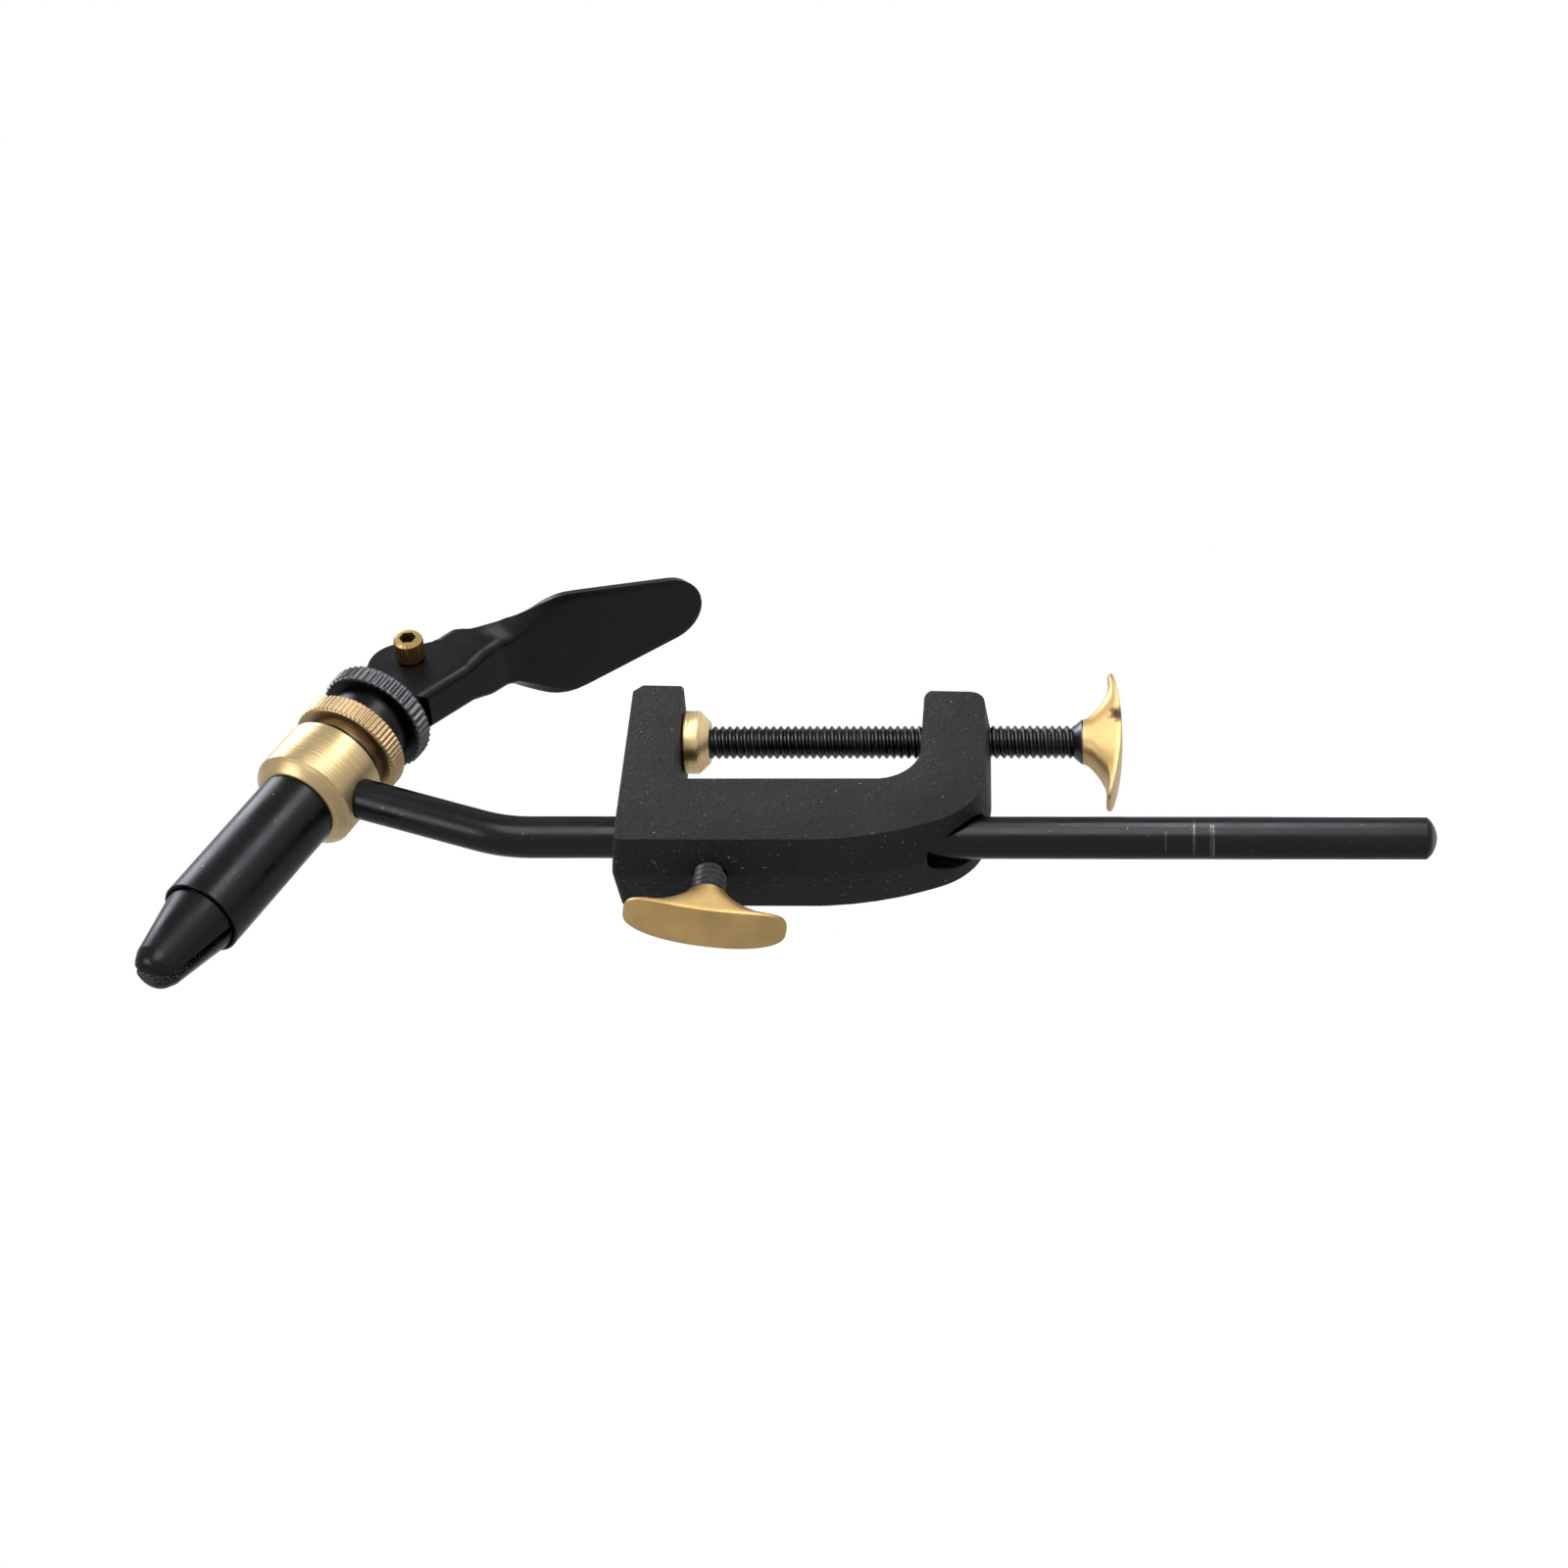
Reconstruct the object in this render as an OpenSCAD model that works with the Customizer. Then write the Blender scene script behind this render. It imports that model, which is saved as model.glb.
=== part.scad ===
// Fly tying vise with a table clamp, a bent stem and a cam-drawn collet head.
// Origin: on the fixed jaw of the clamp, where the screw axis meets it, so z = 0 is the table top.
// +Z runs up the stem, +X points into the throat of the clamp (over the table).

/* [Clamp] */
// Height of the throat between the fixed jaw and the screw arm
throat_h = 46.6; // [34:0.1:60]
// Reach from the screw axis back to the floor of the throat
throat_reach = 19.9; // [16:0.1:30]
// Thickness of the casting
clamp_t = 17; // [15:0.1:24]
// Height of the fixed jaw arm
jaw_arm_h = 10.7; // [8:0.1:14]
// Height of the arm that carries the clamp screw
screw_arm_h = 13.3; // [10:0.1:16]
// Depth of the spine that the stem runs through
spine_w = 17.75; // [16:0.1:22]
// Wall between the stem's hole and the throat
stem_wall = 3.05; // [2.4:0.05:4]
// How far the fixed jaw reaches past the screw axis
jaw_tip = 8; // [5:0.1:12]
// How far the screw arm reaches past the screw axis
arm_tip = 5.9; // [5:0.1:12]
// Radius of the hollow between the throat floor and the screw arm
throat_fillet_r = 8.3; // [4:0.1:12]
// Radius of the long curve down the back
back_curve_r = 60; // [40:1:80]
// Radius of the lower back corner
corner_r = 15; // [8:0.1:18]
// Slope of the outer walls on each side of the parting line
draft = 0.9; // [0.3:0.1:1.4]

/* [Clamp screw] */
// Outer diameter of both screws
screw_d = 6.35; // [5:0.05:7]
// Length of the clamp screw below the pad
screw_len = 70.1; // [62:0.5:100]
// Diameter of the swivel pad
pad_d = 12.2; // [9:0.1:14]
// Thickness of the swivel pad
pad_t = 4.9; // [4:0.1:8]
// Diameter of the pad where the screw enters it
pad_neck_d = 8.2; // [6.5:0.1:9]

/* [Wings] */
// Length of each brass wing from tip to tip
wing_len = 30.4; // [24:0.5:40]
// Width of each brass wing
wing_w = 9.4; // [9:0.1:14]
// Height of a wing from its hub to the crown of its face
wing_h = 7.5; // [6:0.1:10]
// Diameter of the hub of a wing
wing_hub_d = 8.6; // [7.6:0.1:9]
// Turn of the clamp screw's wing about its screw
wing_turn = 12; // [0:1:180]
// Turn of the thumb screw's wing about its screw
thumb_wing_turn = 10; // [0:1:180]

/* [Stem] */
// Diameter of the stem rod
stem_d = 7.94; // [6:0.01:9]
// Diameter of the hole that the stem runs in
stem_bore_d = 10.3; // [9.6:0.1:12]
// Length of the stem below the table top
stem_below = 142.4; // [110:0.1:200]
// Height of the stem's bend above the table top
bend_z = 31.8; // [24:0.1:60]
// Length of the leaning part, from the bend to the head's axis
neck_len = 41.15; // [34:0.1:70]
// Angle of the bend
bend_angle = 20.4; // [10:0.1:35]
// Radius of the bend on the rod's axis
bend_r = 28; // [16:1:36]
// Height of the dome on the stem's lower end
dome_h = 1.9; // [1:0.1:3]
// Distance of the thumb screw below the table top
thumb_drop = 8.2; // [6:0.1:14]
// Length of thumb screw that shows between the clamp and its wing
thumb_reach = 6.6; // [3:0.1:12]

/* [Head] */
// Rise of the jaws above the horizontal
head_rise = 23.4; // [0:0.1:45]
// Outer diameter of the barrel
barrel_d = 15.88; // [14:0.01:18]
// Length of the barrel in front of the collar
barrel_front = 33.2; // [24:0.1:45]
// Diameter of the barrel's threaded rear part
barrel_neck_d = 13.9; // [12.6:0.1:15]
// Bore of the barrel
barrel_bore_d = 12; // [10.6:0.1:12.6]
// Diameter of the barrel's mouth at its rim
mouth_d = 14.7; // [13.6:0.1:15.2]
// Half angle of the closing cone in the mouth
mouth_angle = 12; // [10:1:20]
// Outer diameter of the collar
collar_d = 21.2; // [19:0.1:24]
// Length of the collar
collar_len = 13.4; // [11:0.1:18]
// Length of the bevel on the front of the collar
collar_bevel = 2.4; // [1:0.1:3]
// Outer diameter of the lock ring
ring_d = 22.4; // [19:0.1:26]
// Thickness of the lock ring's rim
ring_t = 4.7; // [3:0.1:7]
// Outer diameter of the adjusting wheel
wheel_d = 22.5; // [19:0.1:26]
// Thickness of the adjusting wheel's rim
wheel_t = 4.3; // [3:0.1:7]
// Diameter of the boss on the front of the wheel
wheel_boss_d = 17.2; // [16:0.1:19]
// Length of that boss
wheel_boss_len = 4.4; // [4:0.1:8]
// Diameter of the washer behind the collar
washer_d = 18.4; // [17:0.1:20]
// Thickness of that washer
washer_t = 1.5; // [0.8:0.1:2.5]

/* [Collet] */
// Length of the jaws in front of the barrel
jaw_reach = 17.2; // [12:0.1:22]
// Diameter of the jaws at the barrel's mouth
jaw_d = 14.3; // [13:0.1:14.8]
// Diameter of the jaws where the nose begins
nose_d = 10.4; // [8:0.1:12]
// Length of the nose
nose_len = 5.4; // [3:0.1:6]
// Width of the slot between the jaws at their nose
slot_w = 1.3; // [0.6:0.1:1.6]
// Length of the collet's solid base
collet_base_len = 5; // [4:0.1:8]
// Diameter of the draw rod
rod_d = 6; // [5:0.1:6.4]
// Diameter of the spring's wire
wire_d = 1; // [0.7:0.05:1.1]
// Number of turns in the return spring
spring_turns = 6; // [4:1:8]

/* [Lever] */
// Thickness of the lever's sheet
sheet_t = 1.6; // [1.2:0.1:2]
// Distance from the wheel's rear face to the pivot at rest
pivot_back = 11.5; // [11:0.1:14]
// Draw of the cam for each radian that the lever turns
cam_rate = 1.6; // [1:0.1:1.8]
// Lean of the channel's web from the barrel's axis
web_lean = 19.5; // [14:0.1:24]
// Lean of the paddle from the barrel's axis
paddle_lean = 39; // [28:0.5:50]
// Length of the paddle from the neck to the tip
paddle_len = 42.3; // [34:0.5:60]
// Greatest width of the paddle
paddle_w = 24.6; // [18:0.2:32]
// Diameter of the pivot screw's shank
pivot_d = 3; // [2.5:0.1:3.4]
// Diameter of the brass pivot nut
nut_d = 5.9; // [4.6:0.1:7]
// Height of the brass pivot nut
nut_h = 4.9; // [3:0.1:6]

/* [Hidden] */
$fn = 72;
arc_steps = 12;
overrun = 0.5;
fit_gap = 0.05;
thread_gap = 0.08;
seat_gap = 0.1;

// Places on the clamp
spine_x = -throat_reach - spine_w;
clamp_bottom = -throat_h - screw_arm_h;
jaw_fall = 0.4;
arm_rise = 0.8;
tip_chamfer = 1.8;
tip_round_r = 3;
back_round_r = 1.4;
parting_w = 0.2;
back_sweep = 25;
corner_end = 268;

// Places on the stem and its head
stem_x = -throat_reach - stem_wall - stem_d / 2 - seat_gap;
stem_bore_x = -throat_reach - stem_wall - stem_bore_d / 2;
dome_r = (dome_h + pow(stem_d / 2, 2) / dome_h) / 2;
bend_tangent = bend_r * tan(bend_angle / 2);
head_x = stem_x + neck_len * sin(bend_angle);
head_z = bend_z + neck_len * cos(bend_angle);
stem_seat = 7.7;

// Places along the head's axis, from the middle of the collar forwards
collar_front = collar_len / 2;
collar_rear = -collar_len / 2;
collar_lip_d = 16.6;
mouth_z = collar_front + barrel_front;
mouth_len = (mouth_d - barrel_bore_d) / 2 / tan(mouth_angle);
washer_rear = collar_rear - seat_gap - washer_t;
ring_boss_d = 16.6;
ring_boss_len = 1.7;
wheel_gap = 1;
neck_room = 0.4;
ring_front = washer_rear - seat_gap - ring_boss_len;
ring_rear = ring_front - ring_t;
wheel_boss_front = ring_rear - wheel_gap;
wheel_front = wheel_boss_front - wheel_boss_len;
wheel_rear = wheel_front - wheel_t;
neck_end = wheel_front + neck_room;
rim_chamfer = 0.4;
spring_seat_z = -4.5;
rod_room = 0.5;
rear_bore_d = rod_d + 2 * rod_room;

// Places along the collet
collet_fit_d = barrel_bore_d - 2 * fit_gap;
collet_rear = 7;
jaw_root = collet_rear + collet_base_len;
root_gap = 0.15;
finger_room = 0.55;
finger_d = barrel_bore_d - 2 * finger_room;
finger_bore_d = 6.4;
nose_solid_len = 7;
finger_bore_end = mouth_z - nose_solid_len;
cone_gap = 0.15;
jaw_crown_z = mouth_z - (mouth_d / 2 - cone_gap - jaw_d / 2) / tan(mouth_angle);
jaw_cone_len = (jaw_d - finger_d) / 2 / tan(mouth_angle);
jaw_tip_z = mouth_z + jaw_reach;
nose_tip_d = 3.6;
root_slot_w = 0.8;
nose_steps = 8;
nose_start = 22;
rod_thread_d = 4.5;
spring_gap = 0.85;
spring_r = (rod_d + barrel_bore_d) / 4 + seat_gap;
spring_sides = 10;
spring_steps = 26;

// Places on the lever, in its own side view about the pivot
pivot_z = wheel_rear - pivot_back;
flange_y = rod_d / 2 + seat_gap + sheet_t;
cam_h = pivot_back - seat_gap;
cam_close = 23;
cam_open = 48;
cam_steps = 19;
lobe_r = 6.7;
lobe_x = -2.8;
lobe_y = -0.5;
lobe_start = 243;
lobe_end = 368;
web_start = -8.2;
web_side = 11.2;
web_front = 6.2;
web_round_r = 2;
edge_shares = [[0.6, 0.21], [0.845, 0.4], [0.91, 0.69], [1.02, 0.91], [1.16, 1.13],
               [1.3, 1.33], [1.345, 1.46]];
neck_x = 10.2;
neck_y = (web_side + neck_x * sin(web_lean)) / cos(web_lean);
paddle_side = neck_y * cos(paddle_lean) - neck_x * sin(paddle_lean);
fold_r = 7;
fold_turn = sin(paddle_lean - web_lean);
fold_x = ((web_side + fold_r) * cos(paddle_lean) - (paddle_side + fold_r) * cos(web_lean)) / fold_turn;
fold_y = ((web_side + fold_r) * sin(paddle_lean) - (paddle_side + fold_r) * sin(web_lean)) / fold_turn;
neck_run = 10;
flare_end = 115;
heel_r = paddle_w / 2;
heel_x = 13;
tip_r = 7.6;
pin_head_d = 5.6;
pin_head_h = 1.9;
pin_slot_w = 0.8;
pin_slot_h = 0.9;
rod_tail = 4.2;
socket_d = 3.5;
socket_depth = 1.4;

// Places on the screws
pad_gap = 0.2;
pad_bevel = 2;
pad_socket_d = 4.6;
pad_socket_depth = 3.2;
cone_len = 1.7;
tang_d = 4.6;
tang_len = 4;
screw_z = -pad_gap - pad_t;
wing_z = screw_z - screw_len - cone_len;
thumb_tip_x = stem_x - stem_d / 2 - seat_gap;
thumb_wing_x = spine_x - thumb_reach;

// Shares of a wing's height, half length and half width from its hub to the crown of its face
wing_rise_shares = [0, 0.07, 0.14, 0.21, 0.32, 0.43, 0.5, 0.55, 0.59, 0.7, 0.71, 0.72];
wing_long_shares = [0, 0.03, 0.1, 0.19, 0.34, 0.52, 0.68, 0.84, 0.97, 1, 0.7, 0.36];
wing_wide_shares = [0, 0.1, 0.25, 0.4, 0.6, 0.8, 0.9, 0.96, 0.99, 1, 0.7, 0.36];
wing_bow_share = 0.28;
wing_square_share = 0.42;
wing_points = 40;

iron = "#3a3a3c";
black = "#202023";
steel = "#2c2c30";
brass = "#c8a860";
spring_steel = "#8c8f94";

// Points of an arc round [cx, cy], from angle a0 to angle a1
function arc(cx, cy, r, a0, a1, steps = arc_steps) =
    [for (i = [0:steps]) let (a = a0 + (a1 - a0) * i / steps) [cx + r * cos(a), cy + r * sin(a)]];

// Children stand on the head's axis, with +Z towards the jaws
module on_head() {
    translate([head_x, 0, head_z]) rotate([0, head_rise - 90, 0]) children();
}

// Children stand on the leaning part of the stem, with their origin at the bend
module on_neck() {
    translate([stem_x, 0, bend_z]) rotate([0, bend_angle, 0]) children();
}

// A round solid between two places on the axis
module turned(d, z0, z1) {
    translate([0, 0, min(z0, z1)]) cylinder(d = d, h = abs(z1 - z0));
}

// The same with both edges broken by a chamfer
module rimmed(d, z0, z1, edge) {
    turned(d, z0 + edge, z1 - edge);
    translate([0, 0, z0]) cylinder(d1 = d - 2 * edge, d2 = d, h = edge);
    translate([0, 0, z1 - edge]) cylinder(d1 = d, d2 = d - 2 * edge, h = edge);
}

// Side view of the casting, drawn in by inset all round
module clamp_side(inset) {
    x0 = spine_x + inset;
    z1 = jaw_arm_h - inset;
    z0 = clamp_bottom + arm_rise + inset;
    corner_x = spine_x + back_curve_r * (1 - cos(back_sweep)) + corner_r * cos(back_sweep);
    corner_z = clamp_bottom + corner_r;
    curve_x = spine_x + back_curve_r;
    curve_z = corner_z + (back_curve_r - corner_r) * sin(back_sweep);
    polygon(concat(
        [[jaw_tip - inset, z1 - tip_chamfer], [jaw_tip - inset - tip_chamfer, z1]],
        arc(x0 + back_round_r, z1 - jaw_fall - back_round_r, back_round_r, 90, 180, 4),
        arc(curve_x, curve_z, back_curve_r - inset, 180, 180 + back_sweep),
        arc(corner_x, corner_z, corner_r - inset, 180 + back_sweep, corner_end),
        arc(arm_tip - inset - tip_round_r, z0 + tip_round_r, tip_round_r, 270, 360, 6)));
}

// A thin slice of that side view at a depth y
module clamp_slice(y, inset) {
    translate([0, y + parting_w / 2, 0])
        rotate([90, 0, 0])
            linear_extrude(parting_w) clamp_side(inset);
}

// Everything in front of the throat's walls, with the rounded and bevelled tips of both arms
module throat() {
    front_x = jaw_tip + wing_len;
    rotate([90, 0, 0]) linear_extrude(clamp_t + 2 * overrun, center = true) {
        difference() {
            translate([-throat_reach, -throat_h]) square([throat_reach + front_x, throat_h]);
            difference() {
                translate([-throat_reach - overrun, -throat_h - overrun])
                    square([throat_fillet_r + overrun, throat_fillet_r + overrun]);
                translate([-throat_reach + throat_fillet_r, -throat_h + throat_fillet_r])
                    circle(r = throat_fillet_r);
            }
        }
        polygon([[jaw_tip - tip_chamfer, -overrun], [jaw_tip - tip_chamfer, 0],
                 [jaw_tip + overrun, tip_chamfer + overrun], [front_x, tip_chamfer + overrun],
                 [front_x, -overrun]]);
        difference() {
            translate([arm_tip - tip_round_r, -throat_h - tip_round_r])
                square([2 * tip_round_r, tip_round_r + overrun]);
            translate([arm_tip - tip_round_r, -throat_h - tip_round_r]) circle(r = tip_round_r);
        }
    }
}

module clamp_frame() {
    color(iron) difference() {
        hull() {
            clamp_slice(0, 0);
            for (side = [-1, 1]) clamp_slice(side * (clamp_t - parting_w) / 2, draft);
        }
        throat();
        translate([stem_bore_x, 0, clamp_bottom - overrun])
            cylinder(d = stem_bore_d, h = jaw_arm_h - clamp_bottom + 2 * overrun);
        translate([0, 0, clamp_bottom - overrun])
            cylinder(d = screw_d + 2 * thread_gap, h = screw_arm_h + 2 * overrun);
        translate([spine_x - overrun, 0, -thumb_drop]) rotate([0, 90, 0])
            cylinder(d = screw_d + 2 * thread_gap, h = stem_bore_x - spine_x + overrun);
    }
}

// The pad turns on the tip of the screw and bears on the table from below
module clamp_pad() {
    color(brass) translate([0, 0, -pad_gap]) rotate([180, 0, 0]) difference() {
        union() {
            cylinder(d = pad_d, h = pad_t - pad_bevel);
            translate([0, 0, pad_t - pad_bevel]) cylinder(d1 = pad_d, d2 = pad_neck_d, h = pad_bevel);
        }
        translate([0, 0, pad_t - pad_socket_depth])
            cylinder(d = pad_socket_d + 2 * fit_gap, h = pad_socket_depth + overrun);
    }
}

// Screw with a bevelled tip at z = 0, a conical shoulder and a tang for its wing
module wing_stud(len, tip_bevel) {
    translate([0, 0, tip_bevel]) cylinder(d = screw_d, h = len - tip_bevel);
    cylinder(d1 = screw_d - 2 * tip_bevel, d2 = screw_d, h = tip_bevel);
    translate([0, 0, len]) cylinder(d1 = screw_d, d2 = wing_hub_d, h = cone_len);
    translate([0, 0, len + cone_len]) cylinder(d = tang_d, h = tang_len);
}

module clamp_screw() {
    color(steel) translate([0, 0, screw_z]) rotate([180, 0, 0]) {
        translate([0, 0, seat_gap]) wing_stud(screw_len - seat_gap, seat_gap);
        translate([0, 0, seat_gap - pad_socket_depth]) cylinder(d = pad_socket_d, h = pad_socket_depth);
    }
}

// One ring of a wing, which swells from the round hub to the long, blunt-ended rim
function wing_ring(i) =
    let (past_rim = i > len(wing_rise_shares) - 3,
         long_r = past_rim ? wing_len / 2 * wing_long_shares[i]
                           : wing_hub_d / 2 + (wing_len - wing_hub_d) / 2 * wing_long_shares[i],
         wide_r = past_rim ? wing_w / 2 * wing_wide_shares[i]
                           : wing_hub_d / 2 + (wing_w - wing_hub_d) / 2 * wing_wide_shares[i],
         bulge = 1 - wing_square_share * min(1, 2 * wing_rise_shares[i]))
    [for (k = [0:wing_points - 1])
        let (a = 360 * k / wing_points,
             x = long_r * sign(cos(a)) * pow(abs(cos(a)), bulge),
             bow = wing_bow_share * (1 - pow(2 * x / wing_len, 2)) * min(1, 2 * wing_rise_shares[i]))
        [x, wide_r * sign(sin(a)) * pow(abs(sin(a)), bulge), wing_h * (wing_rise_shares[i] + bow)]];

// Brass wing with its hub at z = 0, its crown at +Z and its length along X
module wing() {
    rings = len(wing_rise_shares);
    crown = rings * wing_points;
    points = concat([for (i = [0:rings - 1]) each wing_ring(i)], [[0, 0, wing_h], [0, 0, 0]]);
    sides = [for (i = [0:rings - 2]) for (k = [0:wing_points - 1])
        let (a = i * wing_points + k, b = i * wing_points + (k + 1) % wing_points)
        each [[a, a + wing_points, b], [b, a + wing_points, b + wing_points]]];
    top = [for (k = [0:wing_points - 1])
        [crown - wing_points + k, crown, crown - wing_points + (k + 1) % wing_points]];
    base = [for (k = [0:wing_points - 1]) [k, (k + 1) % wing_points, crown + 1]];
    difference() {
        polyhedron(points, concat(sides, top, base));
        translate([0, 0, -overrun]) cylinder(d = tang_d + 2 * fit_gap, h = tang_len + overrun);
    }
}

module clamp_wing() {
    color(brass) translate([0, 0, wing_z]) rotate([180, 0, -wing_turn]) wing();
}

module thumb_screw() {
    color(steel) translate([thumb_tip_x, 0, -thumb_drop]) rotate([0, -90, 0])
        wing_stud(thumb_tip_x - thumb_wing_x - cone_len, rim_chamfer);
}

module thumb_wing() {
    color(brass) translate([thumb_wing_x, 0, -thumb_drop]) rotate([0, -90, 0])
        rotate([0, 0, -thumb_wing_turn]) wing();
}

module stem() {
    straight_top = bend_z - bend_tangent;
    dome_turn = asin(stem_d / 2 / dome_r);
    color(black) {
        translate([stem_x, 0, 0]) rotate_extrude() polygon(concat(
            [[0, straight_top]],
            arc(0, dome_r - stem_below, dome_r, -90, dome_turn - 90, 6),
            [[stem_d / 2, straight_top]]));
        translate([stem_x + bend_r, 0, straight_top]) rotate([90, 0, 180]) {
            rotate_extrude(angle = bend_angle) translate([bend_r, 0]) circle(d = stem_d);
            rotate([0, 0, bend_angle]) translate([bend_r, 0, 0]) rotate([-90, 0, 0])
                cylinder(d = stem_d, h = neck_len - stem_seat - bend_tangent);
        }
    }
}

module collar() {
    color(brass) difference() {
        on_head() {
            turned(collar_d, collar_rear, collar_front - collar_bevel);
            translate([0, 0, collar_front - collar_bevel])
                cylinder(d1 = collar_d, d2 = collar_lip_d, h = collar_bevel);
        }
        on_head() turned(barrel_neck_d + 2 * fit_gap, collar_rear - overrun, collar_front + overrun);
        on_neck() turned(stem_d + 2 * fit_gap, 0, neck_len - stem_seat + fit_gap);
    }
}

// The barrel's front part stands on the collar and its neck runs through to the wheel
module barrel() {
    color(black) on_head() difference() {
        union() {
            turned(barrel_d, collar_front + seat_gap, mouth_z);
            turned(barrel_neck_d, neck_end, collar_front + seat_gap);
        }
        turned(barrel_bore_d, spring_seat_z, mouth_z + overrun);
        turned(rear_bore_d, neck_end - overrun, spring_seat_z + overrun);
        translate([0, 0, mouth_z - mouth_len])
            cylinder(d1 = barrel_bore_d, d2 = mouth_d, h = mouth_len);
    }
}

module friction_washer() {
    color(black) on_head() difference() {
        turned(washer_d, washer_rear, collar_rear - seat_gap);
        turned(barrel_neck_d + 2 * fit_gap, washer_rear - overrun, collar_rear + overrun);
    }
}

module lock_ring() {
    color(brass) on_head() difference() {
        union() {
            rimmed(ring_d, ring_rear, ring_front, rim_chamfer);
            turned(ring_boss_d, ring_front - rim_chamfer, washer_rear - seat_gap);
        }
        turned(barrel_neck_d + 2 * thread_gap, ring_rear - overrun, washer_rear + overrun);
    }
}

module adjusting_wheel() {
    color(black) on_head() difference() {
        union() {
            turned(wheel_boss_d, wheel_front - rim_chamfer, wheel_boss_front);
            rimmed(wheel_d, wheel_rear, wheel_front, rim_chamfer);
        }
        turned(barrel_neck_d + 2 * thread_gap, neck_end - seat_gap, wheel_boss_front + overrun);
        turned(rod_d + 2 * fit_gap, wheel_rear - overrun, neck_end + overrun);
    }
}

module collet_base() {
    color(steel) on_head() difference() {
        turned(collet_fit_d, collet_rear, jaw_root);
        turned(rod_thread_d + 2 * thread_gap, collet_rear - overrun, jaw_root + overrun);
    }
}

// Full outline of both jaws on the axis: fingers, closing cone, long taper and domed nose
module jaw_pair() {
    nose_z = jaw_tip_z - nose_len;
    rotate_extrude() polygon(concat(
        [[0, jaw_root + root_gap], [finger_d / 2, jaw_root + root_gap],
         [finger_d / 2, jaw_crown_z - jaw_cone_len], [jaw_d / 2, jaw_crown_z],
         [jaw_d / 2, mouth_z + cone_gap]],
        [for (i = [0:nose_steps]) let (a = nose_start + (90 - nose_start) * i / nose_steps)
            [nose_tip_d / 2 + (nose_d - nose_tip_d) / 2 * cos(a) / cos(nose_start),
             nose_z + nose_len * (sin(a) - sin(nose_start)) / (1 - sin(nose_start))]],
        [[0, jaw_tip_z]]));
}

// One jaw, on the -Y side; the slot widens towards the nose
module jaw() {
    difference() {
        jaw_pair();
        rotate([90, 0, 90]) linear_extrude(2 * jaw_d, center = true)
            polygon([[-root_slot_w / 2, 0], [-slot_w / 2, jaw_tip_z + overrun],
                     [jaw_d, jaw_tip_z + overrun], [jaw_d, 0]]);
        turned(finger_bore_d, 0, finger_bore_end);
    }
}

module left_jaw() {
    color(steel) on_head() jaw();
}

module right_jaw() {
    color(steel) on_head() mirror([0, 1, 0]) jaw();
}

module draw_rod() {
    color(steel) on_head() difference() {
        union() {
            turned(rod_d, pivot_z - rod_tail, collet_rear - seat_gap);
            turned(rod_thread_d, collet_rear - seat_gap - overrun, jaw_root - root_gap);
        }
        translate([0, 0, pivot_z]) rotate([90, 0, 0])
            cylinder(d = pivot_d + 2 * fit_gap, h = 2 * rod_d, center = true);
    }
}

// Wire of the return spring, swept along its helix round the draw rod
module return_spring() {
    z0 = spring_seat_z + seat_gap + wire_d / 2;
    z1 = collet_rear - spring_gap - wire_d / 2;
    rings = spring_turns * spring_steps;
    points = [for (i = [0:rings]) let (a = 360 * i / spring_steps, z = z0 + (z1 - z0) * i / rings)
        for (k = [0:spring_sides - 1])
            let (b = 360 * k / spring_sides, r = spring_r + wire_d / 2 * cos(b))
            [r * cos(a), r * sin(a), z + wire_d / 2 * sin(b)]];
    sides = [for (i = [0:rings - 1]) for (k = [0:spring_sides - 1])
        let (a = i * spring_sides + k, b = i * spring_sides + (k + 1) % spring_sides)
        each [[a, b, a + spring_sides], [b, b + spring_sides, a + spring_sides]]];
    ends = [[for (k = [spring_sides - 1:-1:0]) k],
            [for (k = [0:spring_sides - 1]) rings * spring_sides + k]];
    color(spring_steel) on_head() polyhedron(points, concat(sides, ends));
}

// Children lie in the lever's side view: x backwards, y downwards from the pivot
module on_lever() {
    on_head() translate([0, 0, pivot_z]) rotate([-90, 90, 0]) children();
}

// Point of the cam whose flat contact is turned by a from rest; it lifts by cam_rate per radian
function cam_point(a) =
    let (h = cam_h + cam_rate * a * PI / 180)
    [-h * cos(a) + cam_rate * sin(a), h * sin(a) + cam_rate * cos(a)];

// Edge of the folded sheet, at a depth below its outer face, from the neck to the tip
function sheet_edge(depth) = concat(
    [[neck_x - 2 * neck_run * cos(web_lean) + depth * sin(web_lean),
      neck_y - 2 * neck_run * sin(web_lean) - depth * cos(web_lean)]],
    arc(fold_x, fold_y, fold_r + depth, web_lean - 90, paddle_lean - 90, 6),
    [[neck_x + paddle_len * cos(paddle_lean) + depth * sin(paddle_lean),
      neck_y + paddle_len * sin(paddle_lean) - depth * cos(paddle_lean)]]);

function flipped(list) = [for (i = [len(list) - 1:-1:0]) list[i]];

// Half of the paddle's outline: a flare from the neck, then a broad heel and a narrower tip
function paddle_half() =
    let (tip_x = paddle_len - tip_r,
         lean = asin((heel_r - tip_r) / (tip_x - heel_x)),
         end = [heel_x + heel_r * cos(flare_end), heel_r * sin(flare_end)],
         turn_x = end[0] + (end[1] - flange_y) * tan(flare_end))
    concat(
        [for (i = [0:arc_steps - 1]) let (t = i / arc_steps)
            [pow(1 - t, 2) * -neck_run + 2 * t * (1 - t) * turn_x + t * t * end[0],
             (1 - t * t) * flange_y + t * t * end[1]]],
        arc(heel_x, 0, heel_r, flare_end, 90 - lean, 6),
        arc(tip_x, 0, tip_r, 90 - lean, 0));

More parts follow.
